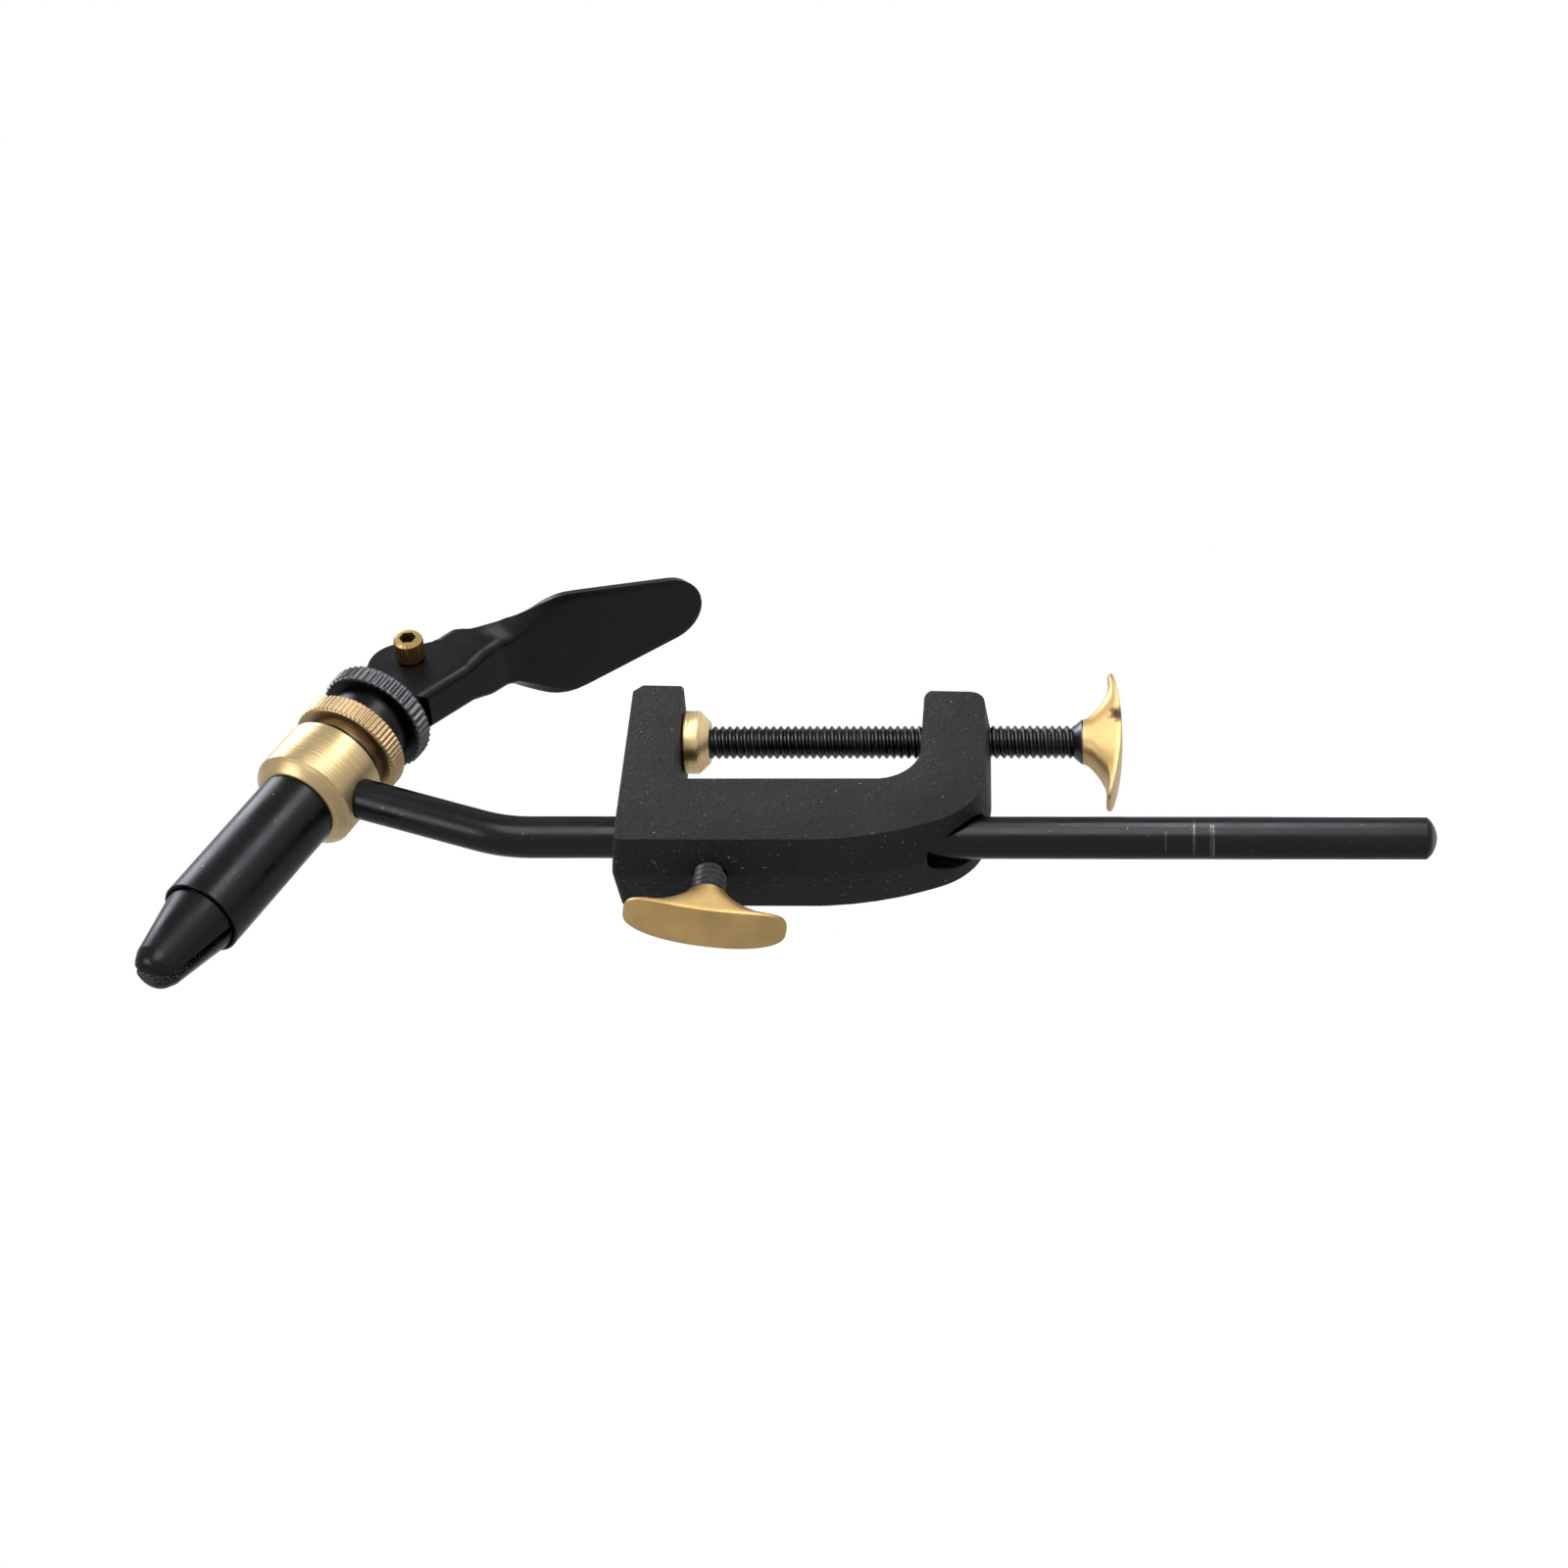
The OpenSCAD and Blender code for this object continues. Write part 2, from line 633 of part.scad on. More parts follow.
module folded_sheet() {
    half = paddle_half();
    intersection() {
        linear_extrude(2 * paddle_w, center = true)
            polygon(concat(sheet_edge(0), flipped(sheet_edge(sheet_t))));
        translate([neck_x, neck_y, 0]) rotate([90, 0, paddle_lean])
            linear_extrude(2 * paddle_w, center = true)
                polygon(concat(half, flipped([for (p = half) [p[0], -p[1]]])));
    }
}

// Side view of the channel: cam nose towards the wheel, round lobe, edge falling to the paddle.
// Between the cams the web stops short, which leaves room for the rod when the lever closes.
module channel_side() {
    polygon(concat(
        [for (i = [0:cam_steps]) cam_point(cam_close - (cam_close + cam_open) * i / cam_steps)],
        arc(lobe_x, lobe_y, lobe_r, lobe_start, lobe_end),
        [for (p = edge_shares) web_side * p],
        [[neck_x, neck_y], [web_start, (web_side + web_start * sin(web_lean)) / cos(web_lean)]]));
}

module channel_section(half_w, side, r) {
    translate([-half_w, -2 * web_side]) square([2 * half_w, 2 * web_side + side - r]);
    translate([r - half_w, 0]) square([2 * (half_w - r), side]);
    for (x = [r - half_w, half_w - r]) translate([x, side - r]) circle(r = r);
}

module lever() {
    color(black) on_lever() difference() {
        union() {
            intersection() {
                linear_extrude(2 * flange_y + 2 * overrun, center = true) channel_side();
                rotate([0, -90, web_lean]) linear_extrude(6 * web_side, center = true)
                    difference() {
                        channel_section(flange_y, web_side, web_round_r);
                        channel_section(flange_y - sheet_t, web_side - sheet_t, web_round_r - sheet_t);
                    }
            }
            folded_sheet();
        }
        cylinder(d = pivot_d + 2 * fit_gap, h = 4 * flange_y, center = true);
        rotate([0, 0, web_lean]) translate([-3 * web_side, 0, sheet_t - flange_y])
            cube([3 * web_side - web_front, 2 * web_side, 2 * (flange_y - sheet_t)]);
    }
}

// The pivot screw's slotted head is on the far side and its tip ends inside the brass nut
module pivot_screw() {
    far = flange_y + seat_gap;
    color(steel) on_head() translate([0, 0, pivot_z]) rotate([-90, 0, 0]) difference() {
        union() {
            turned(pivot_d, socket_depth - far - nut_h + seat_gap, far + overrun);
            rimmed(pin_head_d, far, far + pin_head_h, rim_chamfer);
        }
        translate([-pin_slot_w / 2, -pin_head_d, far + pin_head_h - pin_slot_h])
            cube([pin_slot_w, 2 * pin_head_d, pin_head_h]);
    }
}

module pivot_nut() {
    near = flange_y + seat_gap;
    color(brass) on_head() translate([0, 0, pivot_z]) rotate([90, 0, 0]) difference() {
        rimmed(nut_d, near, near + nut_h, rim_chamfer);
        turned(pivot_d + 2 * thread_gap, near - overrun, near + nut_h + overrun);
        translate([0, 0, near + nut_h - socket_depth])
            cylinder(d = socket_d, h = socket_depth + overrun, $fn = 6);
    }
}

clamp_frame();
clamp_pad();
clamp_screw();
clamp_wing();
thumb_screw();
thumb_wing();
stem();
collar();
barrel();
friction_washer();
lock_ring();
adjusting_wheel();
collet_base();
left_jaw();
right_jaw();
draw_rod();
return_spring();
lever();
pivot_screw();
pivot_nut();
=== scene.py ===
# %% [markdown]
# # A fly tying vise, dressed for its picture
# The solids of the vise are already modelled and come in as a frame. This notebook gives each one
# the edges, threads, knurls and finishes that the real tool shows, and lights it like a product
# photo. Everything is in metres and in the frame of the solids, so each new piece lands in its
# place. The sizes of the pieces are written in millimetres and one factor turns them into metres.
# Only the lamps, the floor and the grain of the finishes are written in metres.

# %% Load the frame
import math

import bpy
from mathutils import Matrix, Vector


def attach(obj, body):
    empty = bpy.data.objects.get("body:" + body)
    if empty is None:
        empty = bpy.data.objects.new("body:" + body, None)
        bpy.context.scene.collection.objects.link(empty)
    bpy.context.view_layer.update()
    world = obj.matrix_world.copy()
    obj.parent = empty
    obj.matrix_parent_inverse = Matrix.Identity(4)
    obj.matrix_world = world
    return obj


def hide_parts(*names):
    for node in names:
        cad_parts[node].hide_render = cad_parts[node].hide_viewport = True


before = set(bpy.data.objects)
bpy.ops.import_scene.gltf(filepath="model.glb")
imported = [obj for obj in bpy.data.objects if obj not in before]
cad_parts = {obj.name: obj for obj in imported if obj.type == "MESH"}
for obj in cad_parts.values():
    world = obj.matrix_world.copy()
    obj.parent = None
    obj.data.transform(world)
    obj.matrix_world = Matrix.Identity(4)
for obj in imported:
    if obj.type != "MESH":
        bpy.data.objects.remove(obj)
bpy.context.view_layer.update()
MM = 0.001

# %% [markdown]
# ## The camera
# The photo shows the vise lying on its side, seen from 42 degrees above the table it lies on.
# Here the vise stands up as in use, so the camera is turned on its side instead of the vise.
# Its place and its three directions come from lining up the stem, the barrel and the clamp.

# %% Camera
head_place = Vector((-12.676, 0, 70.369)) * MM
eye = Vector((-543.9, -478.9, -88.5)) * MM
right = Vector((0.0706, 0.0636, -0.9955)).normalized()
toward = Vector((-0.7398, -0.6661, -0.0950)).normalized()
up = toward.cross(right).normalized()
camera_data = bpy.data.cameras.new("camera")
camera_data.sensor_width = 36.0
camera_data.lens = 86.6
camera = bpy.data.objects.new("camera", camera_data)
bpy.context.scene.collection.objects.link(camera)
turn = Matrix((right, up, right.cross(up))).transposed().to_4x4()
camera.matrix_world = Matrix.Translation(eye) @ turn
bpy.context.scene.camera = camera
print("camera to head:", round((eye - head_place).length, 3), "m")

# %% [markdown]
# ## The studio
# The photo has a pure white ground and very soft light. A world could give both at once, but one
# that is bright enough to look white would flatten the vise. So it is white for what the camera
# and the reflections see, and gives only a part of that as light.

# %% World
world = bpy.data.worlds.new("studio")
bpy.context.scene.world = world
world.use_nodes = True
nodes, links = world.node_tree.nodes, world.node_tree.links
nodes.clear()
out = nodes.new("ShaderNodeOutputWorld")
seen = nodes.new("ShaderNodeBackground")
seen.inputs["Color"].default_value = (1, 1, 1, 1)
seen.inputs["Strength"].default_value = 1.0
soft = nodes.new("ShaderNodeBackground")
soft.inputs["Color"].default_value = (0.95, 0.97, 1.0, 1)
soft.inputs["Strength"].default_value = 0.45
rays = nodes.new("ShaderNodeLightPath")
mirror = nodes.new("ShaderNodeMath")
mirror.operation = "MAXIMUM"
white = nodes.new("ShaderNodeMath")
white.operation = "MAXIMUM"
pick = nodes.new("ShaderNodeMixShader")
links.new(rays.outputs["Is Glossy Ray"], mirror.inputs[0])
links.new(rays.outputs["Is Transmission Ray"], mirror.inputs[1])
links.new(rays.outputs["Is Camera Ray"], white.inputs[0])
links.new(mirror.outputs["Value"], white.inputs[1])
links.new(white.outputs["Value"], pick.inputs["Fac"])
links.new(soft.outputs["Background"], pick.inputs[1])
links.new(seen.outputs["Background"], pick.inputs[2])
links.new(pick.outputs["Shader"], out.inputs["Surface"])
bpy.context.scene.view_settings.view_transform = "Standard"
print("world:", world.name, "with", len(nodes), "nodes")

# %% [markdown]
# ## The lamps
# Polished metal shows a lamp as a bright band, so the lamps of a product photo are large soft
# boxes. Three of them stand well off, and a small card stands low in front. Each is placed
# where its band runs along the barrel as it does in the photo.

# %% Lamps
def soft_box(name, place, target, size, power):
    lamp = bpy.data.lights.new(name, "AREA")
    lamp.shape = "RECTANGLE"
    lamp.size, lamp.size_y = size
    lamp.energy = power
    box = bpy.data.objects.new(name, lamp)
    box.location = place
    box.rotation_euler = (Vector(place) - Vector(target)).to_track_quat("Z", "Y").to_euler()
    bpy.context.scene.collection.objects.link(box)
    return box


middle, barrel_end = (0.0, 0.0, -0.02), (-0.04, 0.0, 0.08)
soft_box("overhead box", (-0.15, -0.75, 0.05), middle, size=(0.5, 0.5), power=4.6)
soft_box("far box", (0.55, -0.14, 0.43), middle, size=(0.32, 0.4), power=4.8)
soft_box("low card", (0.105, -0.27, -0.125), barrel_end, size=(0.17, 0.15), power=0.8)
soft_box("left box", (-0.35, -0.3, 0.6), middle, size=(0.3, 0.3), power=2.2)

# %% [markdown]
# ## Tools of the bench
# An operator acts on all that is selected, so the first helpers pick one piece and leave nothing
# else selected. Pieces on the head are made upright at the origin and then laid along the head's
# axis, and every piece ends with its place in its mesh and its object at the origin.

# %% Helpers for selecting and placing
head_turn = math.radians(-66.6)
head_line = Vector((math.sin(head_turn), 0, math.cos(head_turn)))


def deselect():
    if bpy.context.object and bpy.context.object.mode != "OBJECT":
        bpy.ops.object.mode_set(mode="OBJECT")
    bpy.ops.object.select_all(action="DESELECT")


def pick_only(piece):
    deselect()
    piece.select_set(True)
    bpy.context.view_layer.objects.active = piece


def clear_picks(piece, kind="VERT"):
    """Leaves nothing of a piece selected, so that code can pick points or faces by place."""
    pick_only(piece)
    bpy.ops.object.mode_set(mode="EDIT")
    bpy.ops.mesh.select_mode(type=kind)
    bpy.ops.mesh.select_all(action="DESELECT")
    bpy.ops.object.mode_set(mode="OBJECT")


def settle(piece):
    pick_only(piece)
    bpy.ops.object.transform_apply(location=True, rotation=True, scale=True)


def place(piece, turn=(0, 0, 0), at=(0, 0, 0)):
    """Turns a piece, moves it to a place in millimetres and settles it there."""
    piece.rotation_euler = turn
    piece.location = [c * MM for c in at]
    settle(piece)


def onto_head(piece):
    piece.rotation_euler = (0, head_turn, 0)
    piece.location = head_place
    settle(piece)


print("the head leans by", round(math.degrees(head_turn), 1), "degrees")

# %% Helpers for finishing a mesh
def clean(piece, angle=35):
    """Merges doubles, turns the faces outwards and shades smooth up to an angle."""
    pick_only(piece)
    bpy.ops.object.mode_set(mode="EDIT")
    bpy.ops.mesh.select_all(action="SELECT")
    bpy.ops.mesh.remove_doubles(threshold=0.002 * MM)
    bpy.ops.mesh.normals_make_consistent(inside=False)
    bpy.ops.object.mode_set(mode="OBJECT")
    bpy.ops.object.shade_smooth_by_angle(angle=math.radians(angle))


def break_edges(piece, width, segments, angle):
    """Rounds every edge that turns by more than an angle, as a file does."""
    pick_only(piece)
    bevel = piece.modifiers.new("edges", "BEVEL")
    bevel.width = width * MM
    bevel.segments = segments
    bevel.limit_method = "ANGLE"
    bevel.angle_limit = math.radians(angle)
    bpy.ops.object.modifier_apply(modifier="edges")


def dress(piece, body, material, node):
    """Gives a piece its finish and slot, hides the solid that it stands for and hangs it on the body it
    rides on.
    """
    piece.data.materials.clear()
    piece.data.materials.append(material)
    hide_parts(node)
    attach(piece, body)
    print(piece.name, "on", body, "-", len(piece.data.polygons), "faces")


def give_faces(piece, material, is_theirs):
    """Gives a second material to the faces that pass a test."""
    piece.data.materials.append(material)
    for face in piece.data.polygons:
        face.material_index = int(is_theirs(face))


print("finishing helpers ready")

# %% [markdown]
# ## Turning
# Nearly every piece of this vise came off a lathe. A Screw modifier could turn an outline round
# an axis, but here a ring of points is extruded from step to step along the axis and resized at
# each one, which follows how the piece is turned from bar.

# %% Helper for turned pieces
def turned(name, profile, sides=96, bored=False, closed=True):
    """A piece turned about Z from (radius, height) steps in millimetres."""
    deselect()
    radius, height = profile[0]
    bpy.ops.mesh.primitive_circle_add(vertices=sides, radius=radius * MM, location=(0, 0, height * MM))
    piece = bpy.context.object
    piece.name = name
    settle(piece)
    bpy.ops.object.mode_set(mode="EDIT")
    bpy.ops.mesh.select_all(action="SELECT")
    for (r0, z0), (r1, z1) in zip(profile, profile[1:]):
        bpy.ops.mesh.extrude_region_move(TRANSFORM_OT_translate={"value": (0, 0, (z1 - z0) * MM)})
        bpy.ops.transform.resize(value=(r1 / r0, r1 / r0, 1), center_override=(0, 0, 0))
    bpy.ops.mesh.select_all(action="DESELECT")
    bpy.ops.mesh.select_mode(type="EDGE")
    bpy.ops.mesh.select_non_manifold()
    if bored:
        bpy.ops.mesh.bridge_edge_loops()
    elif closed:
        bpy.ops.mesh.select_all(action="SELECT")
        bpy.ops.mesh.fill_holes(sides=0)
    bpy.ops.mesh.select_mode(type="VERT")
    clean(piece)
    return piece


print("turning helper ready")

# %% [markdown]
# ## Finishes
# The vise has four finishes: a dark coated sand casting, black oxide on steel, brass, and plain
# wire. Each gets its colour from one shader and its grain from noise in a bump, all read from
# Object coordinates, so that nothing slides when a piece moves.

# %% A base for every finish
def new_finish(name, colour, metal, rough):
    material = bpy.data.materials.new(name)
    material.use_nodes = True
    shader = material.node_tree.nodes["Principled BSDF"]
    shader.inputs["Base Color"].default_value = (*colour, 1)
    shader.inputs["Metallic"].default_value = metal
    shader.inputs["Roughness"].default_value = rough
    return material, shader


def add(material, kind, **settings):
    node = material.node_tree.nodes.new("ShaderNode" + kind)
    for key, value in settings.items():
        if key in node.inputs:
            node.inputs[key].default_value = value
        else:
            setattr(node, key, value)
    return node


def wire(material, source, target):
    material.node_tree.links.new(source, target)


def placed_noise(material, scale, detail=3.0, stretch=(1, 1, 1), turn=0.0):
    """Noise in Object coordinates, turned about Y and squeezed along its own axes."""
    where = add(material, "TexCoord")
    mapping = add(material, "Mapping", vector_type="TEXTURE")
    mapping.inputs["Rotation"].default_value = (0, turn, 0)
    mapping.inputs["Scale"].default_value = tuple(1 / v for v in stretch)
    noise = add(material, "TexNoise", Scale=scale, Detail=detail)
    wire(material, where.outputs["Object"], mapping.inputs["Vector"])
    wire(material, mapping.outputs["Vector"], noise.inputs["Vector"])
    return noise


print("finish helpers ready")

# %% Helpers for masks and bumps
def ramp(material, source, low, high, first=(0, 0, 0), last=(1, 1, 1)):
    node = add(material, "ValToRGB")
    node.color_ramp.elements[0].position = low
    node.color_ramp.elements[1].position = high
    node.color_ramp.elements[0].color = (*first, 1)
    node.color_ramp.elements[1].color = (*last, 1)
    wire(material, source, node.inputs["Fac"])
    return node


def bump(material, shader, source, depth, strength=1.0, under=None):
    node = add(material, "Bump", Strength=strength, Distance=depth)
    wire(material, source, node.inputs["Height"])
    if under:
        wire(material, under.outputs["Normal"], node.inputs["Normal"])
    wire(material, node.outputs["Normal"], shader.inputs["Normal"])
    return node


def blend(material, amount, first, second):
    """Mixes two colours, or a socket and a colour, by a mask."""
    mix = add(material, "Mix", data_type="RGBA")
    wire(material, amount, mix.inputs[0])
    for slot, value in ((6, first), (7, second)):
        if isinstance(value, tuple):
            mix.inputs[slot].default_value = (*value, 1)
        else:
            wire(material, value, mix.inputs[slot])
    return mix.outputs[2]


def times(material, first, second):
    node = add(material, "Math", operation="MULTIPLY")
    wire(material, first, node.inputs[0])
    if isinstance(second, float):
        node.inputs[1].default_value = second
    else:
        wire(material, second, node.inputs[1])
    return node.outputs[0]


print("mask helpers ready")

# %% [markdown]
# ## Cast iron with a dark coat
# The frame of the clamp was cast in sand and then coated, so it is dull and grainy. One fine and
# one coarse noise, each in a bump of its own, give the grain and the pits. A third noise
# sprinkles the pale dust that the photo shows, and a fourth makes the coat a little uneven.

# %% Coated casting
coat_dark, coat_light = (0.0046, 0.0046, 0.0050), (0.0080, 0.0080, 0.0087)
casting, shader = new_finish("coated casting", (0.012, 0.012, 0.013), 0.0, 0.6)
shader.inputs["Specular IOR Level"].default_value = 0.12
grain = placed_noise(casting, 2200, 5)
pits = placed_noise(casting, 600, 3)
first = bump(casting, shader, pits.outputs["Fac"], 0.0005, 0.6)
bump(casting, shader, grain.outputs["Fac"], 0.00032, 1.0, first)
shade = placed_noise(casting, 90, 4)
tone = ramp(casting, shade.outputs["Fac"], 0.3, 0.7, coat_dark, coat_light)
fleck = placed_noise(casting, 1300, 2)
dust = ramp(casting, fleck.outputs["Fac"], 0.68, 0.75)
amount = times(casting, dust.outputs["Color"], 0.5)
dusted = blend(casting, amount, tone.outputs["Color"], (0.20, 0.20, 0.205))
wire(casting, dusted, shader.inputs["Base Color"])
print("made:", casting.name)

# %% [markdown]
# ## Black oxide on steel
# Black oxide is a thin dark skin on bare steel, so the shader is a metal with a very dark colour
# and a dimmed edge. Stretched noise gives the fine lines that a lathe leaves, turned to lie
# round the head's axis, and another one wears the gloss in patches.

# %% Black oxide
def black_oxide(name, rough, tone, turn=0.0, grooves=0.0, dust=0.3):
    """A dark metal whose edges stay dark, with lathe lines, worn gloss and a little dust."""
    colour = (tone, tone * 1.02, tone * 1.08)
    material, shader = new_finish(name, colour, 1.0, rough)
    shader.inputs["Specular Tint"].default_value = (0.70, 0.71, 0.73, 1)
    lathe = placed_noise(material, 60, 2, (1, 1, 60), turn)
    grain = placed_noise(material, 2600, 3)
    first = bump(material, shader, lathe.outputs["Fac"], 0.00002, 0.5 * grooves)
    bump(material, shader, grain.outputs["Fac"], 0.00002, 0.35, first)
    wear = placed_noise(material, 120, 5)
    spread = ramp(material, wear.outputs["Fac"], 0.35, 0.75, (rough - 0.05,) * 3, (rough + 0.12,) * 3)
    wire(material, spread.outputs["Color"], shader.inputs["Roughness"])
    fleck = placed_noise(material, 1500, 2)
    dots = ramp(material, fleck.outputs["Fac"], 0.735, 0.80)
    amount = times(material, dots.outputs["Color"], dust)
    wire(material, blend(material, amount, colour, (0.35, 0.36, 0.38)), shader.inputs["Base Color"])
    return material


black_head = black_oxide("black oxide, head", rough=0.28, tone=0.014, turn=head_turn, grooves=1.0, dust=0.5)
black_rim = black_oxide("black oxide, worn knurl", rough=0.34, tone=0.07, turn=head_turn, grooves=0.4)
black_sheet = black_oxide("black oxide, sheet", rough=0.33, tone=0.015)
black_grip = black_oxide("black oxide, serrated", rough=0.42, tone=0.020, turn=head_turn, dust=0.8)
shader = black_grip.node_tree.nodes["Principled BSDF"]
bump(black_grip, shader, placed_noise(black_grip, 3200, 1).outputs["Fac"], 0.00022)
black_thread = black_oxide("black oxide, threads", rough=0.28, tone=0.048, dust=0.5)
print("black finishes:", [m.name for m in bpy.data.materials if m.name.startswith("black")])

# %% [markdown]
# ## Wear on the stem
# The stem slides through the clamp, and the thumb screw has bitten rings into its skin near the
# lower end, which is bare grey steel. The rings are masks in height, broken up by noise, and
# long thin noise gives the scratches.

# %% Stem finish
def band(material, centre, width):
    """A mask that is one in a band round a height in Object coordinates."""
    where = add(material, "TexCoord")
    split = add(material, "SeparateXYZ")
    away = add(material, "Math", operation="SUBTRACT")
    away.inputs[1].default_value = centre
    size = add(material, "Math", operation="ABSOLUTE")
    wire(material, where.outputs["Object"], split.inputs["Vector"])
    wire(material, split.outputs["Z"], away.inputs[0])
    wire(material, away.outputs[0], size.inputs[0])
    mask = add(material, "MapRange")
    mask.inputs["From Min"].default_value = width
    mask.inputs["From Max"].default_value = width * 0.6
    wire(material, size.outputs[0], mask.inputs["Value"])
    return mask.outputs["Result"]


ring_marks = ((-97.7, 0.18), (-101.3, 0.24), (-100.8, 0.1), (-92.5, 0.1))
bare_middle, bare_reach = -144.0, 3.0
scratch_colour, ring_colour, bare_colour = (0.16, 0.16, 0.17), (0.11, 0.105, 0.095), (0.17, 0.17, 0.175)
black_stem = black_oxide("black oxide, stem", rough=0.27, tone=0.017, grooves=0.6)
shader = black_stem.node_tree.nodes["Principled BSDF"]
under = shader.inputs["Base Color"].links[0].from_socket
streak = placed_noise(black_stem, 500, 2, (1, 1, 0.03))
lines = ramp(black_stem, streak.outputs["Fac"], 0.70, 0.74)
worn = blend(black_stem, times(black_stem, lines.outputs["Color"], 0.35), under, scratch_colour)
broken = placed_noise(black_stem, 260, 4)
gaps = ramp(black_stem, broken.outputs["Fac"], 0.48, 0.60)
for height, width in ring_marks:
    bite = times(black_stem, band(black_stem, height * MM, width * MM), gaps.outputs["Color"])
    worn = blend(black_stem, times(black_stem, bite, 0.7), worn, ring_colour)
bare = band(black_stem, bare_middle * MM, bare_reach * MM)
wire(black_stem, blend(black_stem, bare, worn, bare_colour), shader.inputs["Base Color"])
print("made:", black_stem.name, "with", len(ring_marks), "ring marks")

# %% [markdown]
# ## Brass
# The collar, rings and pad are turned brass and the wings are cast. All share one shader: a metal
# whose colour drifts with tarnish. Turned pieces get lathe lines in colour and bump, and the
# clamp's wing has the dark stain that the photo shows on its rim.

# %% Brass finishes
def spot(material, centre, radius):
    """A mask that is one in a ragged spot round a point in Object coordinates."""
    where = add(material, "TexCoord")
    far = add(material, "VectorMath", operation="DISTANCE")
    far.inputs[1].default_value = centre
    noise = add(material, "TexNoise", Scale=900, Detail=4.0)
    wire(material, where.outputs["Object"], far.inputs[0])
    wire(material, where.outputs["Object"], noise.inputs["Vector"])
    ragged = add(material, "Math", operation="MULTIPLY_ADD")
    ragged.inputs[1].default_value = radius * 1.6
    wire(material, noise.outputs["Fac"], ragged.inputs[0])
    wire(material, far.outputs["Value"], ragged.inputs[2])
    mask = add(material, "MapRange")
    mask.inputs["From Min"].default_value = radius * 1.9
    mask.inputs["From Max"].default_value = radius * 1.5
    wire(material, ragged.outputs[0], mask.inputs["Value"])
    return mask.outputs["Result"]


def brass_finish(name, colour, rough, turn=0.0, grooves=0.0, stains=()):
    material, shader = new_finish(name, colour, 1.0, rough)
    lathe = placed_noise(material, 55, 3, (0.4, 0.4, 45), turn)
    first = bump(material, shader, lathe.outputs["Fac"], 0.00008, 0.9 * grooves)
    grain = placed_noise(material, 1800, 3)
    bump(material, shader, grain.outputs["Fac"], 0.00002, 0.4, first)
    tarnish = placed_noise(material, 170, 5)
    tone = ramp(material, tarnish.outputs["Fac"], 0.3, 0.8, colour, tuple(c * 0.74 for c in colour))
    face = tone.outputs["Color"]
    if grooves:
        rings = ramp(material, lathe.outputs["Fac"], 0.42, 0.60)
        amount = times(material, rings.outputs["Color"], 0.5)
        face = blend(material, amount, face, tuple(c * 0.62 for c in colour))
    for centre, radius, tint in stains:
        face = blend(material, spot(material, Vector(centre) * MM, radius * MM), face, tint)
    wire(material, face, shader.inputs["Base Color"])
    return material


brown, nearly_black = (0.10, 0.060, 0.026), (0.03, 0.022, 0.014)
stains = (
    ((2.2, -5.2, -83.6), 2.0, brown),
    ((2.2, -5.0, -83.6), 1.0, nearly_black),
    ((0.4, 0.6, -84.2), 0.6, nearly_black))
brass_head = brass_finish("turned brass", (0.385, 0.290, 0.150), 0.36, head_turn, grooves=1.0)
brass_ring = brass_finish("knurled brass", (0.32, 0.222, 0.118), 0.36, head_turn, grooves=0.5)
brass_nut = brass_finish("turned brass, nut", (0.36, 0.235, 0.095), 0.34, head_turn)
brass_wing = brass_finish("cast brass", (0.395, 0.268, 0.110), 0.50)
brass_stained = brass_finish("cast brass, stained", (0.40, 0.275, 0.118), 0.45, stains=stains)
brass_pad = brass_finish("turned brass, pad", (0.55, 0.410, 0.205), 0.34, grooves=1.0)
wire_finish, shader = new_finish("spring wire", (0.35, 0.36, 0.38), 1.0, 0.3)
print("finishes:", len(bpy.data.materials))

# %% [markdown]
# ## The clamp
# The frame of the clamp is a sand casting: two half moulds leave walls that slope away from a
# parting line, and every outer edge is a little round. The solid already has the sloped walls and
# the bores, so a copy of it gets its edges broken with a bevel, which is what a file does.

# %% Clamp casting
weld, flat_within = 0.004 * MM, math.radians(3)


def bench_copy(name, node):
    """A copy of a solid, with its loose triangles merged back to whole faces."""
    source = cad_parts[node]
    piece = source.copy()
    piece.data = source.data.copy()
    piece.name = name
    piece.parent = None
    bpy.context.scene.collection.objects.link(piece)
    piece.matrix_world = Matrix.Identity(4)
    piece.hide_render = False
    pick_only(piece)
    bpy.ops.object.mode_set(mode="EDIT")
    bpy.ops.mesh.select_all(action="SELECT")
    bpy.ops.mesh.remove_doubles(threshold=weld)
    bpy.ops.mesh.dissolve_limited(angle_limit=flat_within)
    bpy.ops.object.mode_set(mode="OBJECT")
    return piece


clamp = bench_copy("clamp_casting", "clamp_frame")
break_edges(clamp, width=0.45, segments=3, angle=32)
bpy.ops.object.shade_smooth_by_angle(angle=math.radians(30))
dress(clamp, "clamp", casting, "clamp_frame")

# %% [markdown]
# ## Threads
# Both screws have a coarse thread of 18 turns to the inch. A bump could fake it from afar, but its
# crests show against the light here. So one V of the thread is drawn as a line of points and
# wound up with a Screw modifier, and bisecting cuts and closes both ends.

# %% Thread
screw_r, pitch, thread_depth = 3.175, 1.411, 0.62
flank, crest, root = 0.40 * pitch, 0.12 * pitch, 0.08 * pitch
winding_steps, spare_turns = 28, 2
inch = 25.4


